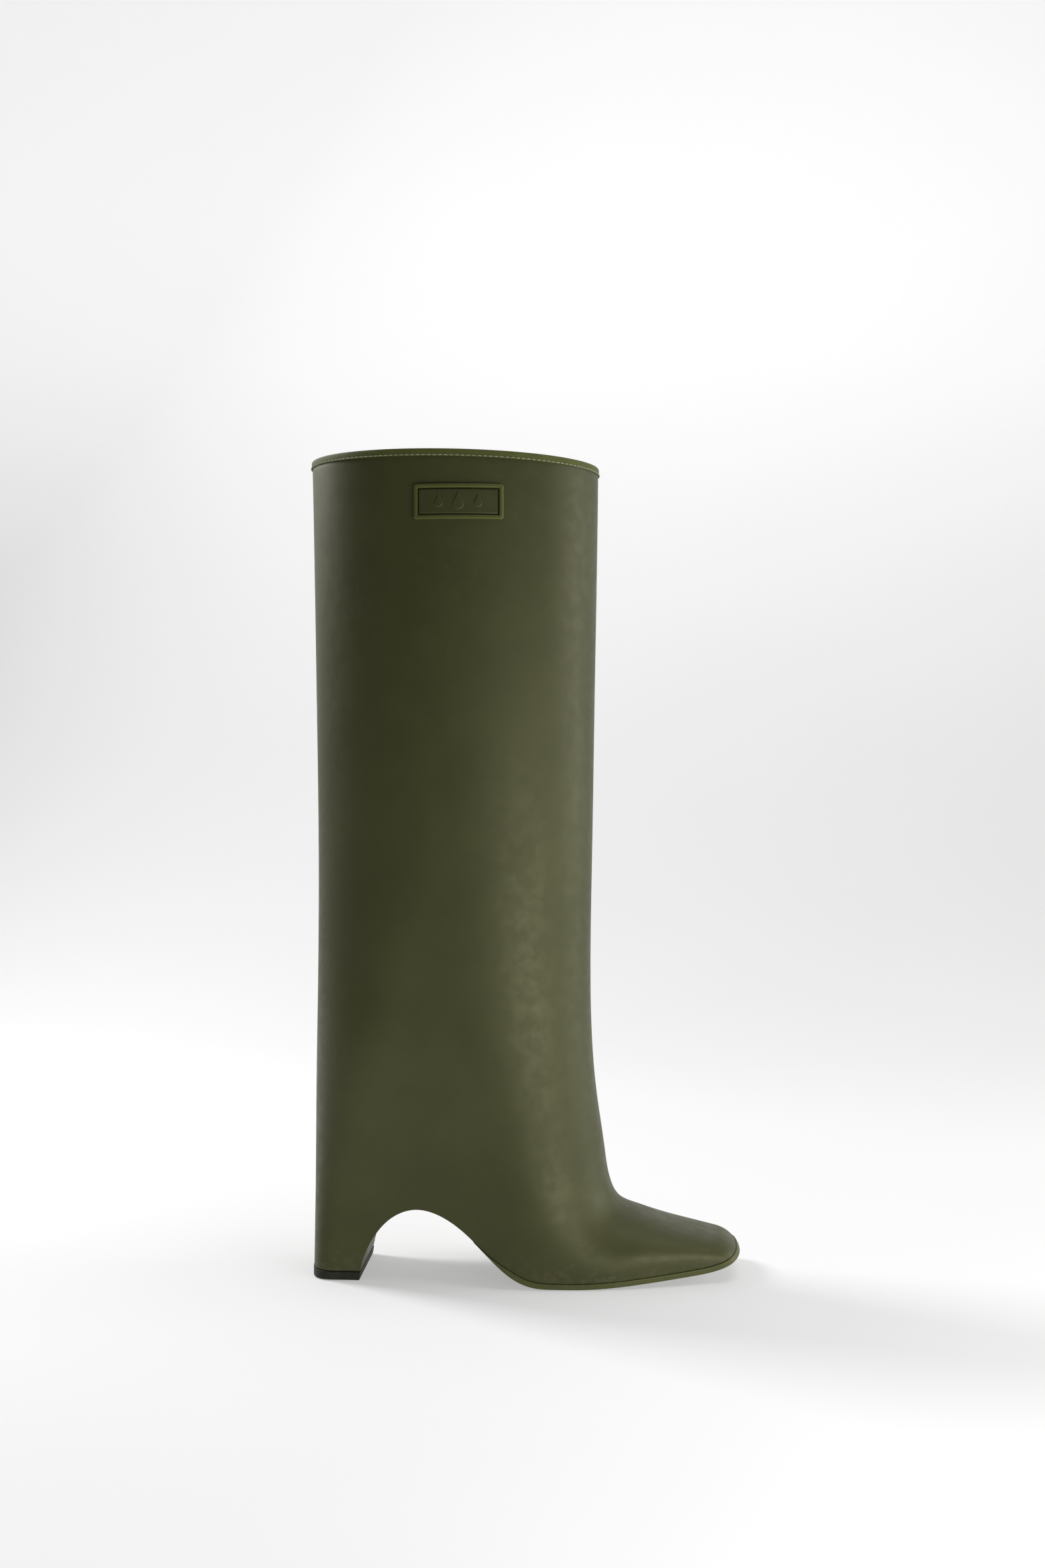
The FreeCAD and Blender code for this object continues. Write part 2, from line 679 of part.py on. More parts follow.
def raindrop(x, z, radius):
    """A drop's outline as a prism: a round belly under a pointed top."""
    apex = radius * DROP_TALL
    touch_z = radius * radius / apex
    touch_x = math.sqrt(radius * radius - touch_z * touch_z)
    left = corner(x - touch_x, z + touch_z)
    right = corner(x + touch_x, z + touch_z)
    top = corner(x, z + apex)
    belly = Part.Arc(left, corner(x, z - radius), right).toShape()
    face = Part.Face(Part.Wire([belly, Part.makeLine(right, top), Part.makeLine(top, left)]))
    face.translate(Vector(0, -Y_REACH, 0))
    return face.extrude(Vector(0, Y_REACH - LABEL_REACH, 0))


def label_frame():
    border = label_block(0, LABEL_CORNER).cut(label_block(LABEL_FRAME, LABEL_INNER_CORNERS[0]))
    return layer(-LABEL_PROUD, -FILM, border, LABEL_LEVELS)


def label_panel():
    """The label's inner panel, with three raindrops standing on it."""
    face = label_block(LABEL_FRAME + GROOVE, LABEL_INNER_CORNERS[1])
    panel = layer(-PANEL_PROUD, -FILM, face, LABEL_LEVELS)
    x, z = LABEL_CENTRE
    for i, radius in enumerate(DROP_SIZES):
        drop = raindrop(x + (i - 1) * DROP_PITCH, z - radius / 2, radius)
        panel = panel.fuse(layer(-MOTIF_PROUD, -FILM, drop, LABEL_LEVELS))
    return panel.removeSplitter()


# ---------------------------------------------------------------- the parts, one file each

PIECES = {
    "boot_shell": boot_shell,
    "outsole": outsole,
    "top_lift": top_lift,
    "top_lift_pins": lambda: Part.makeCompound(pins(0)),
    "heel_core": heel_core,
    "heel_screws": lambda: Part.makeCompound(screws(0)),
    "shank": shank,
    "shank_rivets": lambda: Part.makeCompound(rivets(0)),
    "forefoot_filler": forefoot_filler,
    "insole_board": insole_board,
    "insole_foam": insole_foam,
    "insole_cover": insole_cover,
    "toe_puff": toe_puff,
    "heel_counter": heel_counter,
    "foot_lining": foot_lining,
    "shaft_lining": shaft_lining,
    "backstay_tape": backstay_tape,
    "rim_binding": rim_binding,
    "rim_stitching": rim_stitching,
    "label_frame": label_frame,
    "label_panel": label_panel,
}

for name, make in PIECES.items():
    shape = make()
    shape.exportStep("parts/" + name + ".step")
    print(name, len(shape.Solids), "solid", round(shape.Volume), "mm3", shape.isValid())
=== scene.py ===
import math

import bmesh
import bpy
import numpy as np
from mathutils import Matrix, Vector
from mathutils.kdtree import KDTree


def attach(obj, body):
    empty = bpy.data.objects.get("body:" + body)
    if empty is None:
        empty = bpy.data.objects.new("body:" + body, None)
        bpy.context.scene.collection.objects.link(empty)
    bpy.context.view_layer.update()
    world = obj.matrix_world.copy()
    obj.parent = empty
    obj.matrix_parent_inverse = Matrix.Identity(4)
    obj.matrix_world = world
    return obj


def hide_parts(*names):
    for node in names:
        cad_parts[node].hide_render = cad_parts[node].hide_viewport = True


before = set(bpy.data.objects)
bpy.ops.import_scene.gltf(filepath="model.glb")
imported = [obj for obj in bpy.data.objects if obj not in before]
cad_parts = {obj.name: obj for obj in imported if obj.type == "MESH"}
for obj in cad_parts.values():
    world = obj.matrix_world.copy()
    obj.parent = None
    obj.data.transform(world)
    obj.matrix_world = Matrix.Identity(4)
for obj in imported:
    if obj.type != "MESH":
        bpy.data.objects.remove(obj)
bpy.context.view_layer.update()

MM = 0.001

# ---- the boot's form, in millimetres
# The same driving values as the CAD part's. +X points at the toe, +Y at the inner side, +Z up.

RIM_BACK = 453.2
RIM_FRONT = 449.2
WALL = 2.8
LINING = 0.8
FILM = 0.05
SOLE = 3.2
SOLE_LIP = 0.5
LIFT = 4.6
LIFT_LIP = 0.25
SOLE_SKIN = 1.8
ARCH_SKIN = 2.6
BOARD = 1.6
FOAM = 3.0
TOE_FOAM = 1.8
COVER = 0.7
BINDING = 0.5
STITCH_DROP = 3.5
STITCH_LENGTH = 2.2
STITCH_PITCH = 3.0
THREAD_RADIUS = 0.32
LABEL_SIZE = (48.0, 19.0)
LABEL_CENTRE = (-33.5, 423.0)
LABEL_CORNER = 1.6
LABEL_FRAME = 2.4
PANEL_PROUD = 1.2
MOTIF_PROUD = 1.65
GROOVE = 0.5
DROP_SIZES = [2.0, 2.8, 2.0]
DROP_PITCH = 10.5
DROP_TALL = 2.3  # height of a drop's point over its belly's middle, in radii
LINING_SEAM = 125.0
TAPE_WIDTH = 14.0
TAPE = 0.6
TAPE_ENDS = (130.0, 440.0)
TREAD_START = 12.0
TREAD_PITCH = 9.0
TREAD_GROOVE = 2.2
TREAD_GROOVES = 10
TREAD_DEPTH = 1.2
TREAD_MARGIN = 7.0
FOOTBED_FRONT = 106.0
SOLE_FEATHER = -27.0
SOLE_FULL = -3.0

FRONT_LINE = [(40.9, 475), (40.0, 400), (38.6, 320), (37.3, 240), (36.3, 180), (36.9, 135),
              (39.7, 100), (44.2, 68), (48.0, 48.6), (52.6, 40.6), (62, 35.6), (76, 30.3),
              (92, 25.6), (108, 21.8), (126, 18)]
TOE_X = [(-12, 118.5), (0, 119.6), (8, 120.2), (16, 119.6), (26, 117.5), (40, 113), (60, 100)]
BACK_X = [(-12, -118.5), (0, -118.4), (50, -118.1), (110, -117.6), (170, -117.1), (230, -117.1),
          (300, -118.0), (380, -119.3), (430, -120.2), (475, -121.2)]
FRONT_DEPTH = [(18, 12), (25, 13.5), (30, 20), (35.6, 30), (40.6, 42), (48.6, 50), (68, 57),
               (100, 61), (135, 67), (180, 72), (240, 76), (320, 78), (475, 80.5)]
FRONT_POWER = [(18, 2.7), (25, 2.6), (35.6, 2.3), (48.6, 2.1), (100, 2.1), (180, 2.1), (320, 2.0),
               (475, 2.0)]
BACK_DEPTH = [(-12, 14), (0, 14), (50, 22), (110, 38), (170, 56), (230, 68), (300, 75), (380, 79),
              (475, 80.5)]
BACK_POWER = [(-12, 3.0), (0, 3.0), (50, 2.7), (110, 2.4), (170, 2.2), (230, 2.05), (300, 2.0),
              (475, 2.0)]
TOE_ROUND = 12.0
TOE_POWER = 2.4
PLAN_WIDTH = [(-125, 28), (-100, 28), (-80, 29), (-55, 33), (-30, 38), (0, 42.6), (18, 43.6),
              (40, 42.6), (62, 39.4), (85, 34.4), (105, 29.2), (125, 25)]
SHAFT_WIDTH = [(-12, 47), (60, 47), (150, 48.5), (200, 50.5), (300, 54), (400, 56.6), (475, 58)]
PLAN_TO_SHAFT = (8.0, 158.0)
RIDGE_HEIGHT = 20.0
TUCK = 2.2
TOE_SHIFT = 5.0
ARCH_LINE = [(-90.7, 0), (-88.6, 11), (-81.5, 25.4), (-70.5, 36.3), (-58, 40.3), (-45, 37.3),
             (-32, 29), (-17, 14.8), (-4, 4.4), (6, 0.7), (16, 0)]
SPRING_LINE = [(16, 0), (36, 0), (54, 1.0), (75, 2.9), (92, 4.5), (103, 6.0), (111, 8.4),
               (117, 11.4), (124, 16.5)]
BED_LINE = [(-124, 83), (-102, 82.5), (-82, 80.5), (-62, 74.5), (-45, 63), (-28, 46), (-12, 29.5),
            (3, 17), (16, 9.8), (32, 6.9), (54, 7.6), (75, 9.4), (92, 11.0), (104, 12.8), (126, 17)]

TUCK_ZONE = (-30.0, 30.0)  # the sides' lean under the ridge comes in between these
TUCK_LIMIT = 1.4  # and grows no further below the ground
TURN_ZONE = (15.0, 135.0)  # the toe turns to the inner side over this length
TURN_HEIGHTS = (40.0, 140.0)  # and no longer above these heights
TOE_FOAM_ZONE = (60.0, 100.0)  # the foam thins out between these
PAST_BACK = 1.2  # the share is held at this behind the back line, where the width is nought

# Places along the boot where its rows of points change their spacing
ARCH_X = -58.0  # the crown of the arch
BALL_X = 16.0
FOREFOOT_X = 60.0
VAMP_BELOW = 45.0  # the front line is the vamp's below this height

TOP_EDGE = (RIM_BACK - BINDING - FILM, RIM_FRONT - BINDING - FILM)  # under the binding's fold
LINING_FACES = (WALL + FILM, WALL + FILM + LINING)
INSIDE = WALL + LINING + 2 * FILM  # inset of what lies on the lining

# How finely the meshes are made
STEPS_ACROSS = 44  # steps from the back or bottom edge to the front line
HEEL_STEPS = 18  # steps along the heel's mouth
UNDER_STEPS = 12  # steps across the bottom
CURVE_POINTS = 1200  # points worked out along a curve of the form
PATH_POINTS = 400  # and along a path under it
HEEL_POINTS = 300
WAY_POINTS = 160  # and along one way over it
HALVINGS = 30  # of the stretch in which a way leaves the form
BOW = (-138.0, 85.0)  # a bowed way's middle is a quarter of this off its straight line
BOW_HEIGHTS = (5.0, 120.0)  # it is full up to the first height and none above the second
BOW_SHARE = [(-93.5, 1), (-91, 0.9), (-88.7, 0.76), (-85, 0.62), (-80, 0.51), (-76, 0.43), (-72, 0.33),
             (-68, 0.22), (-63, 0.1), (-56, 0)]  # by the x that they start at
SOFT_EDGE = 0.8  # distance of the row of points beside an edge, which softens it
INSTEP_HEIGHT = 72.0  # the front line is found level above this, and round a centre below
FOOT_CENTRE = (30.0, 12.0)
TOP = 475.0  # above the rim
EDGE_STEP = 5.0  # height between places on the front edge of the shaft
EDGE_POINTS = 260  # places on it round the foot's centre
EDGE_LAST = -0.2  # the last one's angle, in radians
BEYOND_SHAFT = 80.0  # in front of the shaft at any height
BEYOND_FOOT = 140.0  # outside the foot in any direction from its centre
WELD = 2e-7  # metres between points that are one
TINY = 1e-8  # metres that an edge is longer than


def smooth_function(points):
    """The natural cubic spline through the points, as a function of their first value."""
    xs = np.array([p[0] for p in points], float)
    ys = np.array([p[1:] if len(p) > 2 else p[1] for p in points], float)
    h = np.diff(xs)
    count = len(xs)
    matrix = np.eye(count)
    target = np.zeros_like(ys)
    for i in range(1, count - 1):
        matrix[i, i - 1:i + 2] = h[i - 1], 2 * (h[i - 1] + h[i]), h[i]
        target[i] = 6 * ((ys[i + 1] - ys[i]) / h[i] - (ys[i] - ys[i - 1]) / h[i - 1])
    bend = np.linalg.solve(matrix, target)

    def value(x):
        x = np.clip(np.asarray(x, float), xs[0], xs[-1])
        i = np.clip(np.searchsorted(xs, x) - 1, 0, count - 2)
        a = xs[i + 1] - x
        b = x - xs[i]
        step = h[i]
        if ys.ndim == 2:
            a, b, step = a[..., None], b[..., None], step[..., None]
        cubic = (bend[i] * a ** 3 + bend[i + 1] * b ** 3) / (6 * step)
        linear = (ys[i] / step - bend[i] * step / 6) * a + (ys[i + 1] / step - bend[i + 1] * step / 6) * b
        return cubic + linear

    return value


def ease(t):
    t = np.clip(t, 0.0, 1.0)
    return t * t * t * (t * (6 * t - 15) + 10)


def ease_between(value, low, high):
    """0 up to the low value, 1 from the high one, and smooth between."""
    return ease((value - low) / (high - low))


def lengths_along(line):
    """The length along a line of points up to each of them."""
    return np.concatenate([[0], np.cumsum(np.linalg.norm(np.diff(line, axis=0), axis=1))])


def at_lengths(line, goals):
    """The places on a line of points that lie at lengths along it."""
    run = lengths_along(line)
    return np.column_stack([np.interp(goals, run, column) for column in line.T])


def side_curve(points):
    """Many points along the spline through x, z points."""
    points = np.array(points, float)
    run = lengths_along(points)
    spline = smooth_function([(r, *p) for r, p in zip(run, points)])
    return spline(np.linspace(0, run[-1], CURVE_POINTS))


front_curve = side_curve(FRONT_LINE)
front_tree = KDTree(len(front_curve))
for number, place in enumerate(front_curve):
    front_tree.insert((*place, 0.0), number)
front_tree.balance()
under_curve = side_curve(ARCH_LINE + SPRING_LINE[1:])
bed_curve = side_curve(BED_LINE)
toe_x = smooth_function(TOE_X)
back_x = smooth_function(BACK_X)
front_depth = smooth_function(FRONT_DEPTH)
front_power = smooth_function(FRONT_POWER)
back_depth = smooth_function(BACK_DEPTH)
back_power = smooth_function(BACK_POWER)
plan_width = smooth_function(PLAN_WIDTH)
shaft_width = smooth_function(SHAFT_WIDTH)


def front_line_at(x, z):
    """How far inside the front line a place is, and the height of the nearest point on it."""
    places = np.column_stack([np.ravel(x), np.ravel(z)])
    nearest = np.array([front_tree.find((px, pz, 0.0))[1] for px, pz in places.tolist()])
    nearest = np.clip(nearest, 1, len(front_curve) - 2)
    best = np.full(len(places), np.inf)
    depth = np.empty(len(places))
    height = np.empty(len(places))
    for first in (nearest - 1, nearest):
        start = front_curve[first]
        along = front_curve[first + 1] - start
        off = places - start
        share = np.clip((off * along).sum(1) / (along ** 2).sum(1), 0, 1)
        foot = start + share[:, None] * along
        gap = np.hypot(*(places - foot).T)
        outside = along[:, 0] * off[:, 1] > along[:, 1] * off[:, 0]
        closer = gap < best
        best = np.where(closer, gap, best)
        depth = np.where(closer, np.where(outside, -gap, gap), depth)
        height = np.where(closer, foot[:, 1], height)
    return depth.reshape(np.shape(x)), height.reshape(np.shape(x))


def front_rounding(x, z, inset):
    depth, height = front_line_at(x, z)
    vamp = np.maximum(1 - (depth - inset) / (front_depth(height) - inset), 0)
    toe = np.maximum(1 - (toe_x(z) - inset - x) / (TOE_ROUND - inset), 0)
    return (vamp ** TOE_POWER + toe ** TOE_POWER) ** (1 / TOE_POWER), front_power(height)


def half_width(x, z, inset=0.0):
    """Half the width of the form, drawn in by an inset, at places in the side view."""
    x, z = np.broadcast_arrays(np.asarray(x, float), np.asarray(z, float))
    front, power = front_rounding(x, z, inset)
    back = np.maximum(1 - (x - back_x(z) - inset) / (back_depth(z) - inset), 0)
    heel_power = back_power(z)
    width = plan_width(x) + (shaft_width(z) - plan_width(x)) * ease_between(z, *PLAN_TO_SHAFT)
    lean = np.clip((RIDGE_HEIGHT - z) / RIDGE_HEIGHT, 0, TUCK_LIMIT)
    width = width - TUCK * lean ** 2 * ease_between(x, *TUCK_ZONE) - inset
    width = width * np.maximum(1 - front ** power, 0) ** (1 / power)
    return width * np.maximum(1 - np.minimum(back, PAST_BACK) ** heel_power, 0) ** (1 / heel_power)


def middle_y(x, z):
    return TOE_SHIFT * ease_between(x, *TURN_ZONE) * (1 - ease_between(z, *TURN_HEIGHTS))


def sole_thickness(x):
    return SOLE * ease_between(x, SOLE_FEATHER, SOLE_FULL)


def skin_thickness(x):
    return ARCH_SKIN + (SOLE_SKIN - ARCH_SKIN) * ease_between(x, SOLE_FEATHER, SOLE_FULL)


def foam_thickness(x):
    return FOAM + (TOE_FOAM - FOAM) * ease_between(x, *TOE_FOAM_ZONE)


def raised(curve, thickness):
    """A side curve with each point moved off it by the thickness at its x."""
    along = np.gradient(curve, axis=0)
    along /= np.hypot(*along.T)[:, None]
    shift = np.broadcast_to(thickness(curve[:, 0]), len(curve))
    return curve + np.stack([-along[:, 1], along[:, 0]], -1) * shift[:, None]


# ---- rows of points on the form
# A row of points is an array of x, z and half width.

def reach_front(starts, ends, inset):
    """Where straight ways from places inside the form to places outside it leave the form."""
    low = np.zeros(len(starts))
    high = np.ones(len(starts))
    for _ in range(HALVINGS):
        part = (low + high) / 2
        places = starts + (ends - starts) * part[:, None]
        inside = front_rounding(places[:, 0], places[:, 1], inset)[0] < 1
        low = np.where(inside, part, low)
        high = np.where(inside, high, part)
    return starts + (ends - starts) * low[:, None]


def front_edge(inset):
    """The form's front edge in the side view, from above the rim down to the toe."""
    heights = np.arange(TOP, INSTEP_HEIGHT, -EDGE_STEP)
    starts = np.column_stack([np.zeros(len(heights)), heights])
    shaft = reach_front(starts, starts + (BEYOND_SHAFT, 0.0), inset)
    centre = np.array(FOOT_CENTRE)
    first = math.atan2(INSTEP_HEIGHT - centre[1], shaft[-1, 0] - centre[0])
    angles = np.linspace(first, EDGE_LAST, EDGE_POINTS)
    ends = centre + BEYOND_FOOT * np.column_stack([np.cos(angles), np.sin(angles)])
    return np.vstack([shaft, reach_front(np.tile(centre, (len(ends), 1)), ends, inset)])


def stations(length, steps, soft_start=False, soft_end=False):
    """Steps + 1 distances along a length. A soft end has one of them close beside it."""
    start = min(SOFT_EDGE, length / 8) if soft_start else 0.0
    end = min(SOFT_EDGE, length / 8) if soft_end else 0.0
    inner = np.linspace(start, length - end, steps + 1 - soft_start - soft_end)
    return np.concatenate([[0.0] * soft_start, inner, [length] * soft_end])


def spread(places, inset, steps, soft_start=False, soft_end=False):
    """Steps + 1 points along a path in the side view, evenly spaced over the form."""
    row = np.column_stack([places, half_width(places[:, 0], places[:, 1], inset)])
    return at_lengths(row, stations(lengths_along(row)[-1], steps, soft_start, soft_end))


def fine_to_ends(count):
    """Shares from 0 to 1, closer together near both."""
    return (1 - np.cos(np.linspace(0, math.pi, count))) / 2


def back_place(z, inset):
    return np.array([back_x(z) + inset, z])


def bow(starts):
    """How far the ways that start round the heel bow upwards and back, so that they clear the
    space under the arch."""
    amount = 1 - ease_between(starts[:, 1], *BOW_HEIGHTS)
    amount = amount * np.interp(starts[:, 0], *zip(*BOW_SHARE))
    return amount[:, None] * np.array(BOW)


def ways(starts, ends, inset, steps=STEPS_ACROSS, soft=True):
    """Rows of points over the form, from each start to each end in the side view."""
    share = fine_to_ends(WAY_POINTS)[None, :, None]
    places = starts[:, None, :2] + (ends[:, None, :] - starts[:, None, :2]) * share
    places = places + bow(starts)[:, None, :] * share * (1 - share)
    widths = half_width(places[..., 0], places[..., 1], inset)
    widths[:, 0] = starts[:, 2]
    widths[:, -1] = 0
    rows = []
    for place, width in zip(places, widths):
        row = np.column_stack([place, width])
        rows.append(at_lengths(row, stations(lengths_along(row)[-1], steps, soft_start=soft)))
    return np.array(rows)


def cut_at_front(path, inset):
    """A path under the form, ended where it leaves the toe."""
    outside = front_rounding(path[:, 0], path[:, 1], inset)[0] >= 1
    outside &= path[:, 0] > FOREFOOT_X
    last = int(np.argmax(outside)) - 1
    return np.vstack([path[:last + 1], reach_front(path[last:last + 1], path[last + 1:last + 2], inset)])


def part_of(path, x_from, x_to):
    """The part of a path from one x to another, ends included."""
    ends = [[x, np.interp(x, path[:, 0], path[:, 1])] for x in (x_from, x_to)]
    inner = path[(path[:, 0] > x_from) & (path[:, 0] < x_to)]
    return np.vstack([ends[0], inner, ends[1]])


def fine_toward_toe(path):
    """A path's points, closer together towards its end."""
    shares = np.sin(np.linspace(0, math.pi / 2, PATH_POINTS))
    return at_lengths(path, shares * lengths_along(path)[-1])


def densely(path, count=PATH_POINTS):
    """A path's points, closer together near both ends."""
    return at_lengths(path, fine_to_ends(count) * lengths_along(path)[-1])


def join(stretches):
    return np.vstack([stretches[0]] + [s[1:] for s in stretches[1:]])


def front_ends(edge, heights, steps, last_xs):
    """A place on the front edge for each way: evenly spaced between the heights, with as many
    steps as each stretch has, and then at each of the last xs."""
    marks = np.interp([-h for h in heights], -edge[:, 1], lengths_along(edge))
    goals = join([np.linspace(a, b, n + 1)[:, None] for a, b, n in zip(marks, marks[1:], steps)])[:, 0]
    places = at_lengths(edge, goals)
    front = edge[edge[:, 0] > places[-1, 0]]
    front = front[:int(np.argmax(front[:, 0])) + 1]
    last = np.column_stack([last_xs, np.interp(last_xs, front[:, 0], front[:, 1])])
    return np.vstack([places, last])


# ---- meshes

def sides(row):
    """The x, y, z of a row on the outer side and on the inner side."""
    x, z, width = row.T
    middle = middle_y(x, z)
    return np.column_stack([x, middle - width, z]), np.column_stack([x, middle + width, z])


def add(points, new):
    """Adds points to a list. Gives their numbers."""
    first = len(points)
    points.extend(np.asarray(new).tolist())
    return list(range(first, first + len(new)))


def strip(first, second):
    """Quads between two rows of point numbers."""
    return [(a, b, c, d) for a, b, c, d in zip(first, first[1:], second[1:], second)]


def net(rows, closed=False):
    """Quads between each row of point numbers and the next."""
    if closed:
        rows = [list(row) + [row[0]] for row in rows]
    return [quad for first, second in zip(rows, rows[1:]) for quad in strip(first, second)]


def across(points, near, far, steps, margin=None):
    """A straight row across the boot between two points, softened at both ends, and with two
    points close together at a margin from each end if there is one."""
    a, b = np.array(points[near]), np.array(points[far])
    length = float(np.linalg.norm(b - a))
    share = stations(length, steps, True, True)[1:-1]
    if margin:
        gap = min(SOFT_EDGE / 3, length / 40)
        edge = min(margin, length / 4)
        outer = [share[0], edge - gap, edge + gap]
        inner = np.linspace(edge + gap, length - edge - gap, steps - 5)[1:-1]
        share = np.array(outer + list(inner) + [length - s for s in outer[::-1]])
    share = share / max(length, 1e-9)
    return [near] + add(points, a + (b - a) * share[:, None]) + [far]


def finish_mesh(name, points, faces, material, stands_for=(), levels=1):
    """A welded, smooth mesh object in metres that rides on the boot."""
    mesh = bpy.data.meshes.new(name)
    mesh.from_pydata((np.array(points) * MM).tolist(), [], faces)
    bm = bmesh.new()
    bm.from_mesh(mesh)
    bmesh.ops.remove_doubles(bm, verts=bm.verts, dist=WELD)
    bmesh.ops.dissolve_degenerate(bm, edges=bm.edges, dist=TINY)
    loose = [v for v in bm.verts if not v.link_faces]
    bmesh.ops.delete(bm, geom=loose, context="VERTS")
    bmesh.ops.recalc_face_normals(bm, faces=bm.faces)
    if bm.calc_volume(signed=True) < 0:
        bmesh.ops.reverse_faces(bm, faces=bm.faces)
    open_edges = sum(1 for e in bm.edges if not e.is_manifold)
    if open_edges:
        print("open edges in", name, open_edges)
    bm.to_mesh(mesh)
    bm.free()
    mesh.shade_smooth()
    obj = bpy.data.objects.new(name, mesh)
    bpy.context.scene.collection.objects.link(obj)
    mesh.materials.append(material)
    if levels:
        subdivision = obj.modifiers.new("subdivision", "SUBSURF")
        subdivision.levels = levels
        subdivision.render_levels = levels
    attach(obj, "root")
    if stands_for:
        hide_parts(*stands_for)
    return obj


def add_skin(points, rows, under=None):
    """One skin of the boot, from rows that run from its back or bottom edge to its front line.
    From the row numbered under, the bottom is closed across. Gives rings and bottom rows."""
    rings = []
    bottoms = []
    for k, row in enumerate(rows):
        near, far = sides(row)
        ring = add(points, near) + add(points, far[:-1])[::-1]
        rings.append(ring)
        if under is not None and k >= under:
            bottoms.append(across(points, ring[-1], ring[0], UNDER_STEPS))
    return rings, bottoms


def hollow(outer, inner, leave, under=None):
    """Points and faces of a boot-shaped wall between two skins with the same rows. The rows
    after the one numbered leave start at the bottom edge, where the wall is open up to the row
    numbered under."""
    points = []
    rings, bottoms = add_skin(points, outer, under)
    inner_rings, inner_bottoms = add_skin(points, inner, under)
    faces = net(rings) + net(inner_rings) + net(bottoms) + net(inner_bottoms)
    faces += strip(rings[0], inner_rings[0])
    last = len(rings) - 1 if under is None else under
    for side in (0, -1):
        faces += strip([ring[side] for ring in rings[leave:last + 1]],
                       [ring[side] for ring in inner_rings[leave:last + 1]])
    if under is None:
        faces += strip(rings[-1], inner_rings[-1])
    else:
        faces += strip(bottoms[0], inner_bottoms[0])
    return points, faces


def plate(levels, columns=14, margin=None):
    """Points, faces and the bottom's and top's point numbers of a flat piece that spans the
    boot: one row of points per level, from its lowest to its highest, all of the same length."""
    points = []
    nears, fars = [], []
    for row in levels:
        near, far = sides(row)
        nears.append(add(points, near))
        fars.append(add(points, far))
    faces = net(nears) + net(fars)
    covers = []
    for near, far in ((nears[0], fars[0]), (nears[-1], fars[-1])):
        rows = [across(points, a, b, columns, margin) for a, b in zip(near, far)]
        covers.append(rows)
        faces += net(rows)
    for end in (0, -1):
        rows = [covers[0][end]]
        for near, far in zip(nears[1:-1], fars[1:-1]):
            rows.append(across(points, near[end], far[end], columns, margin))
        rows.append(covers[1][end])
        faces += net(rows)
    return points, faces, covers


# ---- materials

KNIT_WALE = 0.9  # width and height of one knitted loop
KNIT_COURSE = 0.8
SHAFT_CENTRE_X = -40.0  # the shaft's axis, round which cloth patterns run
SHAFT_RADIUS = 68.0


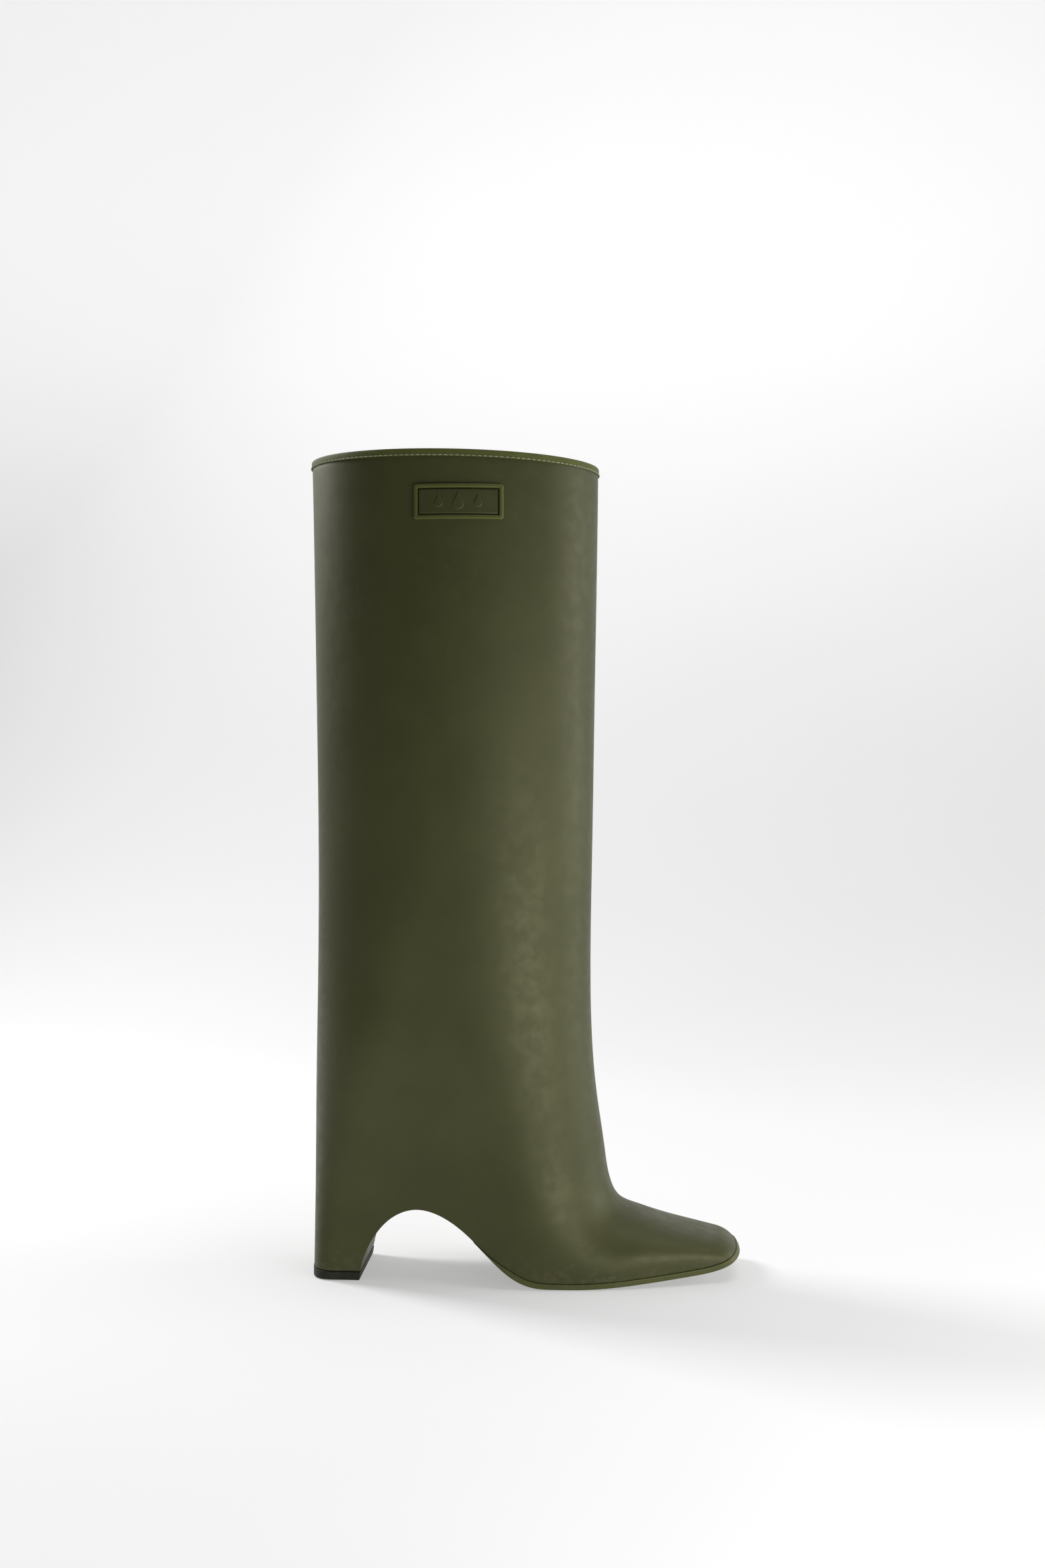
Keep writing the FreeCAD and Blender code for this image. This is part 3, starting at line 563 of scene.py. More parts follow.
class Shader:
    """A material with its principled shader, and short ways to add nodes to it."""

    def __init__(self, name, **constants):
        self.material = bpy.data.materials.new(name)
        self.material.use_nodes = True
        self.nodes = self.material.node_tree.nodes
        self.links = self.material.node_tree.links
        self.principled = self.nodes["Principled BSDF"]
        for socket, value in constants.items():
            self.principled.inputs[socket.replace("_", " ")].default_value = value
        self.place = self.nodes.new("ShaderNodeTexCoord").outputs["Object"]

    def node(self, kind, inputs, **settings):
        """Adds a node with its settings, and with values or links in its inputs. Gives its outputs."""
        node = self.nodes.new("ShaderNode" + kind)
        for name, value in settings.items():
            setattr(node, name, value)
        for socket, value in inputs.items():
            if hasattr(value, "is_output"):
                self.links.new(value, node.inputs[socket])
            else:
                node.inputs[socket].default_value = value
        return node.outputs

    def noise(self, size, detail=4.0, rough=0.55, stretch=(1, 1, 1), distortion=0.0):
        """Noise with features of a size in millimetres."""
        mapped = self.node("Mapping", {"Scale": stretch, "Vector": self.place})["Vector"]
        return self.node("TexNoise", {"Scale": 1 / (size * MM), "Detail": detail, "Roughness": rough,
                                      "Distortion": distortion, "Vector": mapped})["Fac"]

    def cells(self, size):
        return self.node("TexVoronoi", {"Scale": 1 / (size * MM), "Vector": self.place})["Distance"]

    def math(self, operation, first, second=0.0):
        return self.node("Math", {0: first, 1: second}, operation=operation)["Value"]

    def ranged(self, value, low, high, out_low=0.0, out_high=1.0):
        limits = {"From Min": low, "From Max": high, "To Min": out_low, "To Max": out_high}
        return self.node("MapRange", {**limits, "Value": value}, interpolation_type="SMOOTHSTEP")["Result"]

    def axis(self, name):
        return self.node("SeparateXYZ", {"Vector": self.place})[name]

    def round_shaft(self):
        """Distance round the shaft's axis, in metres."""
        off_axis = self.math("SUBTRACT", self.axis("X"), SHAFT_CENTRE_X * MM)
        turn = self.math("ARCTAN2", self.axis("Y"), off_axis)
        return self.math("MULTIPLY", turn, SHAFT_RADIUS * MM)

    def waves(self, distance, pitch):
        """A wave from -1 to 1 along a distance, with a pitch in millimetres."""
        return self.math("SINE", self.math("MULTIPLY", distance, 2 * math.pi / (pitch * MM)))

    def blend(self, factor, first, second):
        return self.node("Mix", {"Factor": factor, "A": first, "B": second}, data_type="RGBA")["Result"]

    def shades(self, value, low, high, dark, pale):
        """From one colour to another as the value rises."""
        return self.blend(self.ranged(value, low, high), dark, pale)

    def over(self, base, value, low, high, most, colour):
        """A base with more and more of a colour over it as the value rises."""
        return self.blend(self.ranged(value, low, high, 0.0, most), base, colour)

    def colour(self, value):
        self.links.new(value, self.principled.inputs["Base Color"])

    def rough(self, value, low, high):
        self.links.new(self.ranged(value, 0.3, 0.7, low, high), self.principled.inputs["Roughness"])

    def relief(self, *layers):
        """Bumps the surface by layers of (value, height in millimetres)."""
        normal = None
        for value, height in layers:
            inputs = {"Distance": height * MM, "Height": value}
            if normal:
                inputs["Normal"] = normal
            normal = self.node("Bump", inputs)["Normal"]
        self.links.new(normal, self.principled.inputs["Normal"])


def rgba(red, green, blue, gain=1.0):
    return (red * gain, green * gain, blue * gain, 1.0)


def rubber(name, colour, rough=(0.44, 0.54), grain=0.018, dust=0.35, scuff=0.25):
    """Moulded rubber: a satin skin with a fine grain and slow waves, a faint bloom, small
    scuffs, and a little dust near the ground."""
    shader = Shader(name, **{"Specular_IOR_Level": 0.36, "Specular_Tint": rgba(1.0, 0.98, 0.66)})
    patches = shader.noise(46, 3)
    mottle = shader.noise(7, 5)
    fine = shader.noise(0.55, 3, 0.6)
    slow = shader.noise(34, 2, 0.4)
    base = shader.shades(patches, 0.35, 0.65, rgba(*colour, 0.93), rgba(*colour, 1.07))
    base = shader.over(base, mottle, 0.55, 0.8, 0.5, rgba(*colour, 1.16))
    scratches = shader.noise(2.2, 6, 0.62, stretch=(1.0, 1.0, 0.16), distortion=0.4)
    marks = shader.math("MULTIPLY", shader.ranged(scratches, 0.66, 0.74), shader.ranged(patches, 0.5, 0.62))
    marks = shader.math("MULTIPLY", marks, scuff)
    base = shader.blend(marks, base, rgba(*colour, 1.55))
    low = shader.ranged(shader.axis("Z"), 0.0, 26 * MM, dust, 0.0)
    powder = shader.math("MULTIPLY", low, shader.ranged(shader.noise(3.4, 6, 0.65), 0.46, 0.68))
    shader.colour(shader.blend(powder, base, rgba(0.105, 0.098, 0.072)))
    shader.rough(shader.math("ADD", mottle, marks), *rough)
    shader.relief((slow, 0.14), (mottle, 0.025), (fine, grain))
    return shader.material


def woven(name, colour, pitch, rough, pale=1.35, height=0.08):
    """Cloth with ribs round the shaft and finer threads across them."""
    shader = Shader(name, **{"Roughness": rough, "Specular_IOR_Level": 0.2, "Sheen_Weight": 0.04,
                             "Sheen_Roughness": 0.5})
    ribs = shader.waves(shader.axis("Z"), pitch)
    threads = shader.waves(shader.round_shaft(), pitch * 0.7)
    weave = shader.math("MULTIPLY", ribs, threads)
    fuzz = shader.noise(0.3, 3)
    base = shader.shades(weave, -0.8, 0.8, rgba(*colour, 0.72), rgba(*colour, pale))
    base = shader.over(base, shader.noise(9, 4), 0.4, 0.7, 0.35, rgba(*colour, 1.25))
    shader.colour(base)
    shader.relief((weave, height), (fuzz, 0.03))
    return shader.material


def knitted(name, colour):
    """Fine jersey: rows of small V-shaped loops, slightly fuzzy."""
    shader = Shader(name, **{"Roughness": 0.85, "Specular_IOR_Level": 0.2, "Sheen_Weight": 0.4,
                             "Sheen_Roughness": 0.6})
    course = shader.math("PINGPONG", shader.axis("Z"), KNIT_COURSE * MM / 2)
    wale = shader.math("ADD", shader.round_shaft(), shader.math("MULTIPLY", course, 0.7))
    loops = shader.waves(wale, KNIT_WALE / 2)
    rows = shader.waves(shader.axis("Z"), KNIT_COURSE)
    knit = shader.math("ADD", loops, shader.math("MULTIPLY", rows, 0.6))
    fuzz = shader.noise(0.35, 4)
    base = shader.shades(knit, -1.2, 1.2, rgba(*colour, 0.55), rgba(*colour, 1.3))
    shader.colour(shader.over(base, fuzz, 0.5, 0.8, 0.4, rgba(*colour, 1.7)))
    shader.relief((knit, 0.12), (fuzz, 0.06))
    return shader.material


def twisted_thread(name, colour):
    """Two-ply thread: slanted bands along each stitch."""
    shader = Shader(name, **{"Roughness": 0.62, "Specular_IOR_Level": 0.35, "Sheen_Weight": 0.2})
    slant = shader.math("ADD", shader.round_shaft(), shader.math("MULTIPLY", shader.axis("Z"), 0.8))
    ply = shader.waves(slant, 0.55)
    base = shader.shades(ply, -0.7, 0.7, rgba(*colour, 0.62), rgba(*colour, 1.1))
    worn = shader.ranged(shader.noise(6, 3), 0.4, 0.7, 0.0, 0.4)
    shader.colour(shader.blend(worn, base, rgba(*colour, 1.3)))
    shader.relief((ply, 0.06))
    return shader.material


def brushed_steel(name):
    shader = Shader(name, Metallic=1.0)
    brushing = shader.noise(1.2, 6, 0.7, stretch=(0.06, 1, 1))
    stain = shader.noise(12, 4)
    base = shader.shades(brushing, 0.3, 0.7, rgba(0.46, 0.46, 0.47), rgba(0.62, 0.62, 0.63))
    shader.colour(shader.over(base, stain, 0.58, 0.8, 0.5, rgba(0.30, 0.25, 0.2)))
    shader.rough(brushing, 0.28, 0.46)
    shader.relief((brushing, 0.02))
    return shader.material


def moulded_plastic(name, colour):
    """Matt moulded plastic with flow marks and sink marks."""
    shader = Shader(name, **{"Specular_IOR_Level": 0.4})
    flow = shader.noise(20, 4, stretch=(0.4, 1, 1), distortion=0.8)
    grain = shader.noise(0.4, 2)
    shader.colour(shader.shades(flow, 0.35, 0.65, rgba(*colour, 0.8), rgba(*colour, 1.3)))
    shader.rough(flow, 0.5, 0.66)
    shader.relief((flow, 0.1), (grain, 0.02))
    return shader.material


def fibre_board(name):
    """Pressed cellulose board: pale and dark fibres all ways."""
    shader = Shader(name, **{"Specular_IOR_Level": 0.2})
    along = shader.noise(0.9, 5, 0.7, stretch=(0.2, 1, 1), distortion=1.2)
    crossing = shader.noise(0.8, 5, 0.7, stretch=(1, 0.2, 1), distortion=1.2)
    fibres = shader.math("MULTIPLY", shader.math("ADD", along, crossing), 0.5)
    base = shader.shades(fibres, 0.4, 0.62, rgba(0.2, 0.135, 0.085), rgba(0.36, 0.27, 0.18))
    shader.colour(shader.blend(shader.ranged(shader.noise(25, 3), 0.4, 0.7, 0.0, 0.3), base,
                               rgba(0.25, 0.18, 0.12)))
    shader.rough(fibres, 0.75, 0.92)
    shader.relief((fibres, 0.08))
    return shader.material


def foam(name, colour, cell):
    """Closed-cell foam: a skin pitted by its cells."""
    shader = Shader(name, **{"Specular_IOR_Level": 0.25})
    cells = shader.cells(cell)
    tone = shader.noise(14, 4)
    base = shader.shades(cells, 0.05, 0.55, rgba(*colour, 0.55), rgba(*colour, 1.15))
    shader.colour(shader.over(base, tone, 0.4, 0.7, 0.4, rgba(*colour, 0.85)))
    shader.rough(tone, 0.7, 0.85)
    shader.relief((cells, 0.12))
    return shader.material


OLIVE = (0.040, 0.042, 0.0140)
OLIVE_TRIM = (0.060, 0.068, 0.016)

shell_rubber = rubber("shell_rubber", OLIVE)
sole_rubber = rubber("sole_rubber", (0.060, 0.065, 0.020), dust=0.2)
lift_rubber = rubber("lift_rubber", (0.010, 0.010, 0.010), (0.55, 0.7), 0.03, dust=0.12)
label_rubber = rubber("label_rubber", OLIVE_TRIM, (0.4, 0.5), 0.012, dust=0.0, scuff=0.15)
panel_rubber = rubber("panel_rubber", (0.036, 0.038, 0.013), (0.45, 0.55), 0.02, dust=0.0, scuff=0.15)
binding_cloth = woven("binding_cloth", (0.080, 0.091, 0.018), 0.5, 0.6, pale=1.15, height=0.035)
tape_cloth = woven("tape_cloth", (0.060, 0.065, 0.022), 1.1, 0.75, height=0.1)
lining_knit = knitted("lining_knit", (0.058, 0.060, 0.028))
cover_knit = knitted("cover_knit", (0.064, 0.066, 0.031))
thread = twisted_thread("thread", (0.27, 0.275, 0.165))
steel = brushed_steel("steel")
core_plastic = moulded_plastic("core_plastic", (0.035, 0.035, 0.036))
stiffener_sheet = moulded_plastic("stiffener_sheet", (0.33, 0.31, 0.26))
board_fibre = fibre_board("board_fibre")
filler_foam = foam("filler_foam", (0.10, 0.10, 0.088), 1.6)
footbed_foam = foam("footbed_foam", (0.30, 0.29, 0.25), 1.1)

# CAD nodes inside the boot whose shape is right as it is, and their materials
KEPT_NODES = {
    "top_lift_pins": steel, "heel_screws": steel, "shank": steel, "shank_rivets": steel,
    "heel_core": core_plastic, "forefoot_filler": filler_foam, "insole_board": board_fibre,
    "toe_puff": stiffener_sheet, "heel_counter": stiffener_sheet,
}
for node, finish in KEPT_NODES.items():
    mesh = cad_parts[node].data
    mesh.materials.clear()
    mesh.materials.append(finish)


# ---- the shell and its linings

TIP_FROM = 106.0  # from this x on, the shell's rows crowd towards the tip of the toe
LINING_TIP_FROM = 102.0  # and the lining's


def boot_rows(inset, top, backs, paths, fronts, steps):
    """Rows for one skin of the boot, from the top down and on to the toe. They start at heights
    down the back line and then along the paths of the bottom edge, and end at heights down the
    front line; each stretch has its number of steps."""
    edge = front_edge(inset)
    stretches = []
    high = top[0]
    for low, count in zip(backs, steps):
        z = high - stations(high - low, count, soft_end=low == backs[-1])
        stretches.append(np.column_stack([back_x(z) + inset, z, np.zeros(len(z))]))
        high = low
    for number, path in enumerate(paths):
        count = steps[len(backs) + number]
        stretches.append(spread(path, inset, count, number == 1, number == 0))
    starts = join(stretches)
    leave = sum(steps[:len(backs)])
    starts[:leave + 1, 2] = 0
    if not paths:
        return ways(starts, front_ends(edge, (top[1],) + fronts, steps, []), inset), leave
    vamp = edge[edge[:, 1] < VAMP_BELOW]
    over_tip = float(np.interp(paths[-1][0, 0], vamp[:, 0], vamp[:, 1]))
    tip = starts[-steps[-1]:, 0]
    ends = front_ends(edge, (top[1],) + fronts + (over_tip,), steps[:-1], tip)
    ends[-1] = starts[-1, :2]
    rows = ways(starts, ends, inset)
    rows[-1] = [starts[-1, 0], starts[-1, 1], 0]
    return rows, leave


def bottom_paths(path, inset, marks):
    """A bottom line cut at the marks, the last piece running to the tip of the toe."""
    path = cut_at_front(path, inset)
    cuts = [part_of(path, a, b) for a, b in zip(marks, marks[1:])]
    return cuts + [fine_toward_toe(part_of(path, marks[-1], path[-1, 0]))]


def shell_rows(inset, skin):
    """Rows for the shell's outer or inner skin, with the heel's mouth in the heel stretch."""
    mouth = LIFT + FILM
    bottom = raised(under_curve, lambda x: sole_thickness(x) + skin(x))
    rising = bottom[:int(np.argmax(bottom[:, 1]))]
    corner_x = float(np.interp(mouth, rising[:, 1], rising[:, 0]))
    heel_share = fine_to_ends(HEEL_POINTS)[:, None]
    start = back_place(mouth, inset)
    heel = start + (np.array([corner_x, mouth]) - start) * heel_share
    paths = [heel] + bottom_paths(bottom, inset, (corner_x, ARCH_X, BALL_X, FOREFOOT_X, TIP_FROM))
    return boot_rows(inset, TOP_EDGE, (170.0, mouth), paths,
                     (165.0, 112.0, 96.0, 80.0, 44.0, 32.5), (46, 30, HEEL_STEPS, 20, 26, 16, 18, 14))


def boot_shell():
    outer, leave = shell_rows(0.0, lambda x: 0 * x)
    inner, _ = shell_rows(WALL, skin_thickness)
    points, faces = hollow(outer, inner, leave, under=leave + HEEL_STEPS)
    return finish_mesh("boot_upper", points, faces, shell_rubber, ["boot_shell"])


def shaft_lining():
    low = LINING_SEAM + FILM
    skins = []
    for inset in LINING_FACES:
        rows, leave = boot_rows(inset, TOP_EDGE, (low,), [], (low,), (60,))
        skins.append(rows)
    points, faces = hollow(*skins, leave)
    obj = finish_mesh("shaft_lining_knit", points, faces, lining_knit, ["shaft_lining"])
    return obj


def bed_paths(height, inset, marks):
    """The line a height off the board's underside, from the back line to the tip of the toe."""
    path = raised(bed_curve, height)
    gap = path[:, 0] - back_x(path[:, 1]) - inset
    first = int(np.argmax(gap > 0))
    share = gap[first - 1] / (gap[first - 1] - gap[first])
    start = path[first - 1] + (path[first] - path[first - 1]) * share
    path = np.vstack([start, path[first:]])
    pieces = bottom_paths(path, inset, (path[0, 0],) + marks)
    return [densely(pieces[0], HEEL_POINTS)] + pieces[1:]


def foot_lining():
    skins = []
    for inset in LINING_FACES:
        paths = bed_paths(lambda x: BOARD + FILM + 0 * x, inset,
                          (ARCH_X, BALL_X, FOREFOOT_X, LINING_TIP_FROM))
        rows, leave = boot_rows(inset, (LINING_SEAM, LINING_SEAM), (float(paths[0][0, 1]),), paths,
                                (108.0, 88.0, 46.0, 33.5), (10, 16, 26, 16, 16, 12))
        skins.append(rows)
    points, faces = hollow(*skins, leave)
    obj = finish_mesh("foot_lining_knit", points, faces, lining_knit, ["foot_lining"])
    return obj


# ---- sole, heel and footbed

GROOVE_EDGE = 0.22  # half the run of a tread groove's wall
RIB_PLACES = (2.4, 4.4)  # rows on each rib, from the groove before it


def tread_stations():
    """Places along the outsole: one either side of each edge of each tread groove."""
    xs = list(np.linspace(SOLE_FEATHER, TREAD_START - 2, 15))
    for i in range(TREAD_GROOVES):
        x = TREAD_START + i * TREAD_PITCH
        for wall in (x, x + TREAD_GROOVE):
            xs += [wall - GROOVE_EDGE, wall + GROOVE_EDGE]
        xs += [x + TREAD_GROOVE + place for place in RIB_PLACES]
    return np.array(xs[:-1])


def outsole():
    """The sole unit: feathered out at the waist, with a proud soft edge and a grooved tread."""
    xs = tread_stations()
    levels = []
    for share in (0.0, 0.2, 0.8, 1.0):
        path = raised(under_curve, lambda x: np.maximum((sole_thickness(x) - FILM) * share, 0.02 * share))
        body = np.column_stack([xs, np.interp(xs, path[:, 0], path[:, 1])])
        body = np.column_stack([body, half_width(body[:, 0], body[:, 1], -SOLE_LIP)])
        front = part_of(cut_at_front(path, -SOLE_LIP), xs[-1], cut_at_front(path, -SOLE_LIP)[-1, 0])
        tip = spread(fine_toward_toe(front), -SOLE_LIP, 22)
        tip[-1, 2] = 0
        levels.append(np.vstack([body, tip[1:]]))
    points, faces, covers = plate(levels, columns=20, margin=TREAD_MARGIN + SOLE_LIP)
    for row in covers[0]:
        x = points[row[0]][0]
        in_groove = any(0 < x - TREAD_START - i * TREAD_PITCH < TREAD_GROOVE for i in range(TREAD_GROOVES))
        if in_groove:
            low, high = points[row[0]][1], points[row[-1]][1]
            for number in row:
                y = points[number][1]
                if min(y - low, high - y) > TREAD_MARGIN + SOLE_LIP:
                    points[number][2] += TREAD_DEPTH
    return finish_mesh("forefoot_outsole", points, faces, sole_rubber, ["outsole"])


def top_lift():
    front = raised(under_curve, lambda x: -LIFT_LIP + 0 * x)
    rising = front[:int(np.argmax(front[:, 1]))]
    levels = []
    for z in (0.0, 0.7, LIFT - 0.6, LIFT):
        end = np.array([float(np.interp(z, rising[:, 1], rising[:, 0])), z])
        start = back_place(z, -LIFT_LIP)
        line = start + (end - start) * fine_to_ends(PATH_POINTS)[:, None]
        row = spread(line, -LIFT_LIP, 44, soft_end=True)
        row[0, 2] = 0
        levels.append(row)
    points, faces, _ = plate(levels, columns=16)
    return finish_mesh("heel_top_lift", points, faces, lift_rubber, ["top_lift"])


def footbed_layer(name, bottom, top, material, stands_for):
    """A layer of the footbed between two heights off the board's underside."""
    levels = []
    for share in (0.0, 0.25, 0.75, 1.0):
        pieces = bed_paths(lambda x: bottom(x) + (top(x) - bottom(x)) * share, INSIDE, (ARCH_X, FOREFOOT_X))
        path = np.vstack(pieces)
        path = path[np.concatenate([[True], np.diff(path[:, 0]) > 1e-6])]
        row = spread(densely(part_of(path, path[0, 0], FOOTBED_FRONT)), INSIDE, 90, soft_end=True)
        row[0, 2] = 0
        levels.append(row)
    points, faces, _ = plate(levels, columns=20)
    return finish_mesh(name, points, faces, material, stands_for)


def footbed():
    start = BOARD + FILM
    pad = footbed_layer("footbed_pad", lambda x: start + 0 * x, lambda x: start + foam_thickness(x),
                        footbed_foam, ["insole_foam"])
    cover_start = start + FILM
    cover = footbed_layer("footbed_cover", lambda x: cover_start + foam_thickness(x),
                          lambda x: cover_start + foam_thickness(x) + COVER,
                          cover_knit, ["insole_cover"])


# ---- the rim: binding, tape, stitches

RIM_STEPS = 358  # round half the rim, about five for each stitch


def rim_row(inset, drop, steps=RIM_STEPS):
    """A row round half the shaft, a drop below the top edge."""
    z_back, z_front = RIM_BACK - drop, RIM_FRONT - drop
    start = np.array([[back_x(z_back) + inset, z_back, 0.0]])
    end = reach_front(np.array([[0.0, z_front]]), np.array([[BEYOND_SHAFT, z_front]]), inset)
    return ways(start, end, inset, steps, soft=False)[0]


def closed_ring(points, row):
    near, far = sides(row)
    return add(points, near) + add(points, far[1:-1][::-1])


# The folded tape's section: inset from the shaft's face and drop below the edge, all round
BINDING_FOLD = [
    (-0.05, 3.95), (-0.14, 4.03), (-0.24, 3.95), (-0.27, 3.75), (-0.25, 3.5), (-0.29, 3.1), (-0.33, 2.2),
    (-0.32, 0.9), (-0.22, 0.42), (0.05, 0.1), (1.0, 0.0), (1.87, 0.0), (2.75, 0.0), (3.7, 0.1),
    (4.11, 0.42), (4.25, 0.9), (4.27, 1.9), (4.27, 3.0), (4.19, 3.5), (4.27, 4.0), (4.25, 4.45),
    (4.05, 4.66), (3.80, 4.55), (3.80, 2.0), (3.80, 0.62), (1.87, 0.56), (-0.05, 0.62), (-0.05, 2.0),
]


def rim_binding():
    """The tape folded over the top edge: its section is carried round the rim, drawn in a little
    along the line of stitches."""
    points = []
    rings = [closed_ring(points, rim_row(inset, drop)) for inset, drop in BINDING_FOLD]
    faces = net(rings + [rings[0]], closed=True)
    return finish_mesh("rim_binding_tape", points, faces, binding_cloth, ["rim_binding"],
                       levels=0)


# The line of one stitch: share of the stitch's length, and distance out of the binding
STITCH_LINE = [(-0.06, -0.42), (0.0, -0.12), (0.10, 0.2), (0.3, 0.34), (0.5, 0.37), (0.7, 0.34),
               (0.90, 0.2), (1.0, -0.12), (1.06, -0.42)]
STITCH_SIDES = 8
STITCH_SINK = 0.25  # how far the outer row lies inside the binding's full thickness
STITCH_ROW_STEPS = 400
STITCH_AHEAD = 0.4  # the thread's direction is taken over this length
THIN_END = 0.72  # thickness of the thread in its needle holes, as a share
FLATTENED = 0.85  # its depth as a share of its width
SLACK = 0.05  # how much higher one end of a stitch may be


def stitch_row(points, faces, inset, outward):
    """A row of stitches round the shaft, each a bent length of thread that dips into its needle
    holes."""
    row = rim_row(inset, STITCH_DROP, STITCH_ROW_STEPS)
    near, far = sides(row)
    ring = np.vstack([near, far[1:-1][::-1], near[:1]])
    run = lengths_along(ring)
    count = round(run[-1] / STITCH_PITCH)
    centre = np.array([SHAFT_CENTRE_X, 0.0, 0.0])
    for i in range(count):
        begin = run[-1] * i / count
        rings = []
        for share, rise in STITCH_LINE:
            at = (begin + share * STITCH_LENGTH) % run[-1]
            place, ahead = at_lengths(ring, [at, (at + STITCH_AHEAD) % run[-1]])
            along = ahead - place
            along /= np.linalg.norm(along)
            out = np.cross(along, (0.0, 0.0, 1.0))
            out *= outward * np.sign(out @ (place - centre)) / np.linalg.norm(out)
            up = np.cross(along, out)
            slack = SLACK * math.sin(2.3 * i)
            middle = place + out * rise + up * slack * (share - 0.5)
            thick = THREAD_RADIUS * (THIN_END if share < 0 or share > 1 else 1.0)
            turns = np.linspace(0, 2 * math.pi, STITCH_SIDES, endpoint=False)
            rings.append(add(points, [middle + thick * (out * math.cos(a) * FLATTENED + up * math.sin(a))
                                      for a in turns]))
        faces += net(rings, closed=True)
        faces += [tuple(rings[0]), tuple(reversed(rings[-1]))]


def rim_stitching():
    points, faces = [], []
    stitch_row(points, faces, -BINDING + STITCH_SINK, 1)
    stitch_row(points, faces, INSIDE + BINDING, -1)
    return finish_mesh("rim_stitches", points, faces, thread, ["rim_stitching"], levels=1)


def backstay_tape():
    """The tape over the lining's back seam, with a bead along both edges."""
    low, high = TAPE_ENDS
    section = [(-1.0, 0.0), (-1.0, 0.75), (-0.86, 1.0), (-0.72, 0.8), (-0.4, 0.85), (0.0, 0.88),
               (0.4, 0.85), (0.72, 0.8), (0.86, 1.0), (1.0, 0.75), (1.0, 0.0), (0.4, 0.0), (-0.4, 0.0)]
    points = []
    rings = []
    for z in np.linspace(low, high, 100):
        ring = []
        for share, rise in section:
            y = share * TAPE_WIDTH / 2
            inset = INSIDE + rise * TAPE
            xs = back_x(z) + inset + np.linspace(0, 2.5, 40)
            widths = half_width(xs, z, inset)
            ring.append((float(np.interp(abs(y), widths, xs)), y, z))
        rings.append(add(points, ring))
    faces = net(rings, closed=True) + [tuple(rings[0]), tuple(reversed(rings[-1]))]
    return finish_mesh("back_seam_tape", points, faces, tape_cloth, ["backstay_tape"], levels=0)


# ---- the label

def on_shaft(x, z, proud):
    """Points on the outer side of the shaft, a distance out of it."""
    return np.column_stack([x, middle_y(x, z) - half_width(x, z, -proud), z])


OUTLINE_STEPS = 25  # steps along each long side of the label
ARC_POINTS = 9
LEAST_RADIUS = 0.3


def rounded_outline(inset, radius):
    """The label's rounded rectangle drawn in by a distance, as x and z, all round."""
    radius = max(radius, LEAST_RADIUS)
    width = LABEL_SIZE[0] / 2 - inset - radius
    height = LABEL_SIZE[1] / 2 - inset - radius
    corners = [(1, -1, -math.pi / 2), (1, 1, 0.0), (-1, 1, math.pi / 2), (-1, -1, math.pi)]
    arcs = []
    for side, level, turn in corners:
        angles = np.linspace(turn, turn + math.pi / 2, ARC_POINTS)[:, None]
        arcs.append(np.array([side * width, level * height])
                    + radius * np.hstack([np.cos(angles), np.sin(angles)]))
    outline = []
    for arc, following, steps in zip(arcs, arcs[1:] + arcs[:1], (OUTLINE_STEPS // 2, OUTLINE_STEPS) * 2):
        share = np.linspace(0, 1, steps + 1)[1:-1, None]
        outline += [arc, arc[-1] + (following[0] - arc[-1]) * share]
    outline = np.vstack(outline)
    return outline[:, 0] + LABEL_CENTRE[0], outline[:, 1] + LABEL_CENTRE[1]


FRAME_SECTION = [(0.0, 0.05), (0.0, 0.5), (0.04, 1.15), (0.2, 1.6), (0.5, 1.84), (0.85, 1.9),
                 (1.5, 1.9), (1.9, 1.84), (2.2, 1.6), (2.36, 1.15), (2.4, 0.5), (2.4, 0.05),
                 (1.6, 0.05), (0.8, 0.05)]


def label_frame():
    points = []
    rings = []
    for inset, proud in FRAME_SECTION:
        x, z = rounded_outline(inset, LABEL_CORNER - inset * 0.45)
        rings.append(add(points, on_shaft(x, z, proud)))
    faces = net(rings + [rings[0]], closed=True)
    return finish_mesh("label_border", points, faces, label_rubber, ["label_frame"])


def drop_distance(x, z, radius):
    """Distance outside a raindrop's outline round the origin: a round belly under a point."""
    apex = radius * DROP_TALL
    belly = np.hypot(x, z) - radius
    sine = radius / apex
    cosine = math.sqrt(1 - sine * sine)
    flank = np.abs(x) * cosine + (z - apex) * sine
    return np.where(z > radius * sine, flank, belly)


PANEL_CORNER = 0.6
PANEL_EDGE = 0.4  # width of the panel's softened edge
DROP_EDGE = 0.35  # and of a raindrop's
PANEL_NEAR = np.array([0.0, 0.12, 0.35])  # rows beside the panel's edges, from the edge
PANEL_INNER = 0.8  # from here on they are evenly spaced
PANEL_STEPS = (210, 66)


def panel_shares(half, steps):
    """Shares from -1 to 1 of half the panel's size, closer together beside both edges."""
    near = PANEL_NEAR / half
    inner = 1 - PANEL_INNER / half
    return np.concatenate([near - 1, np.linspace(-inner, inner, steps), (1 - near)[::-1]])


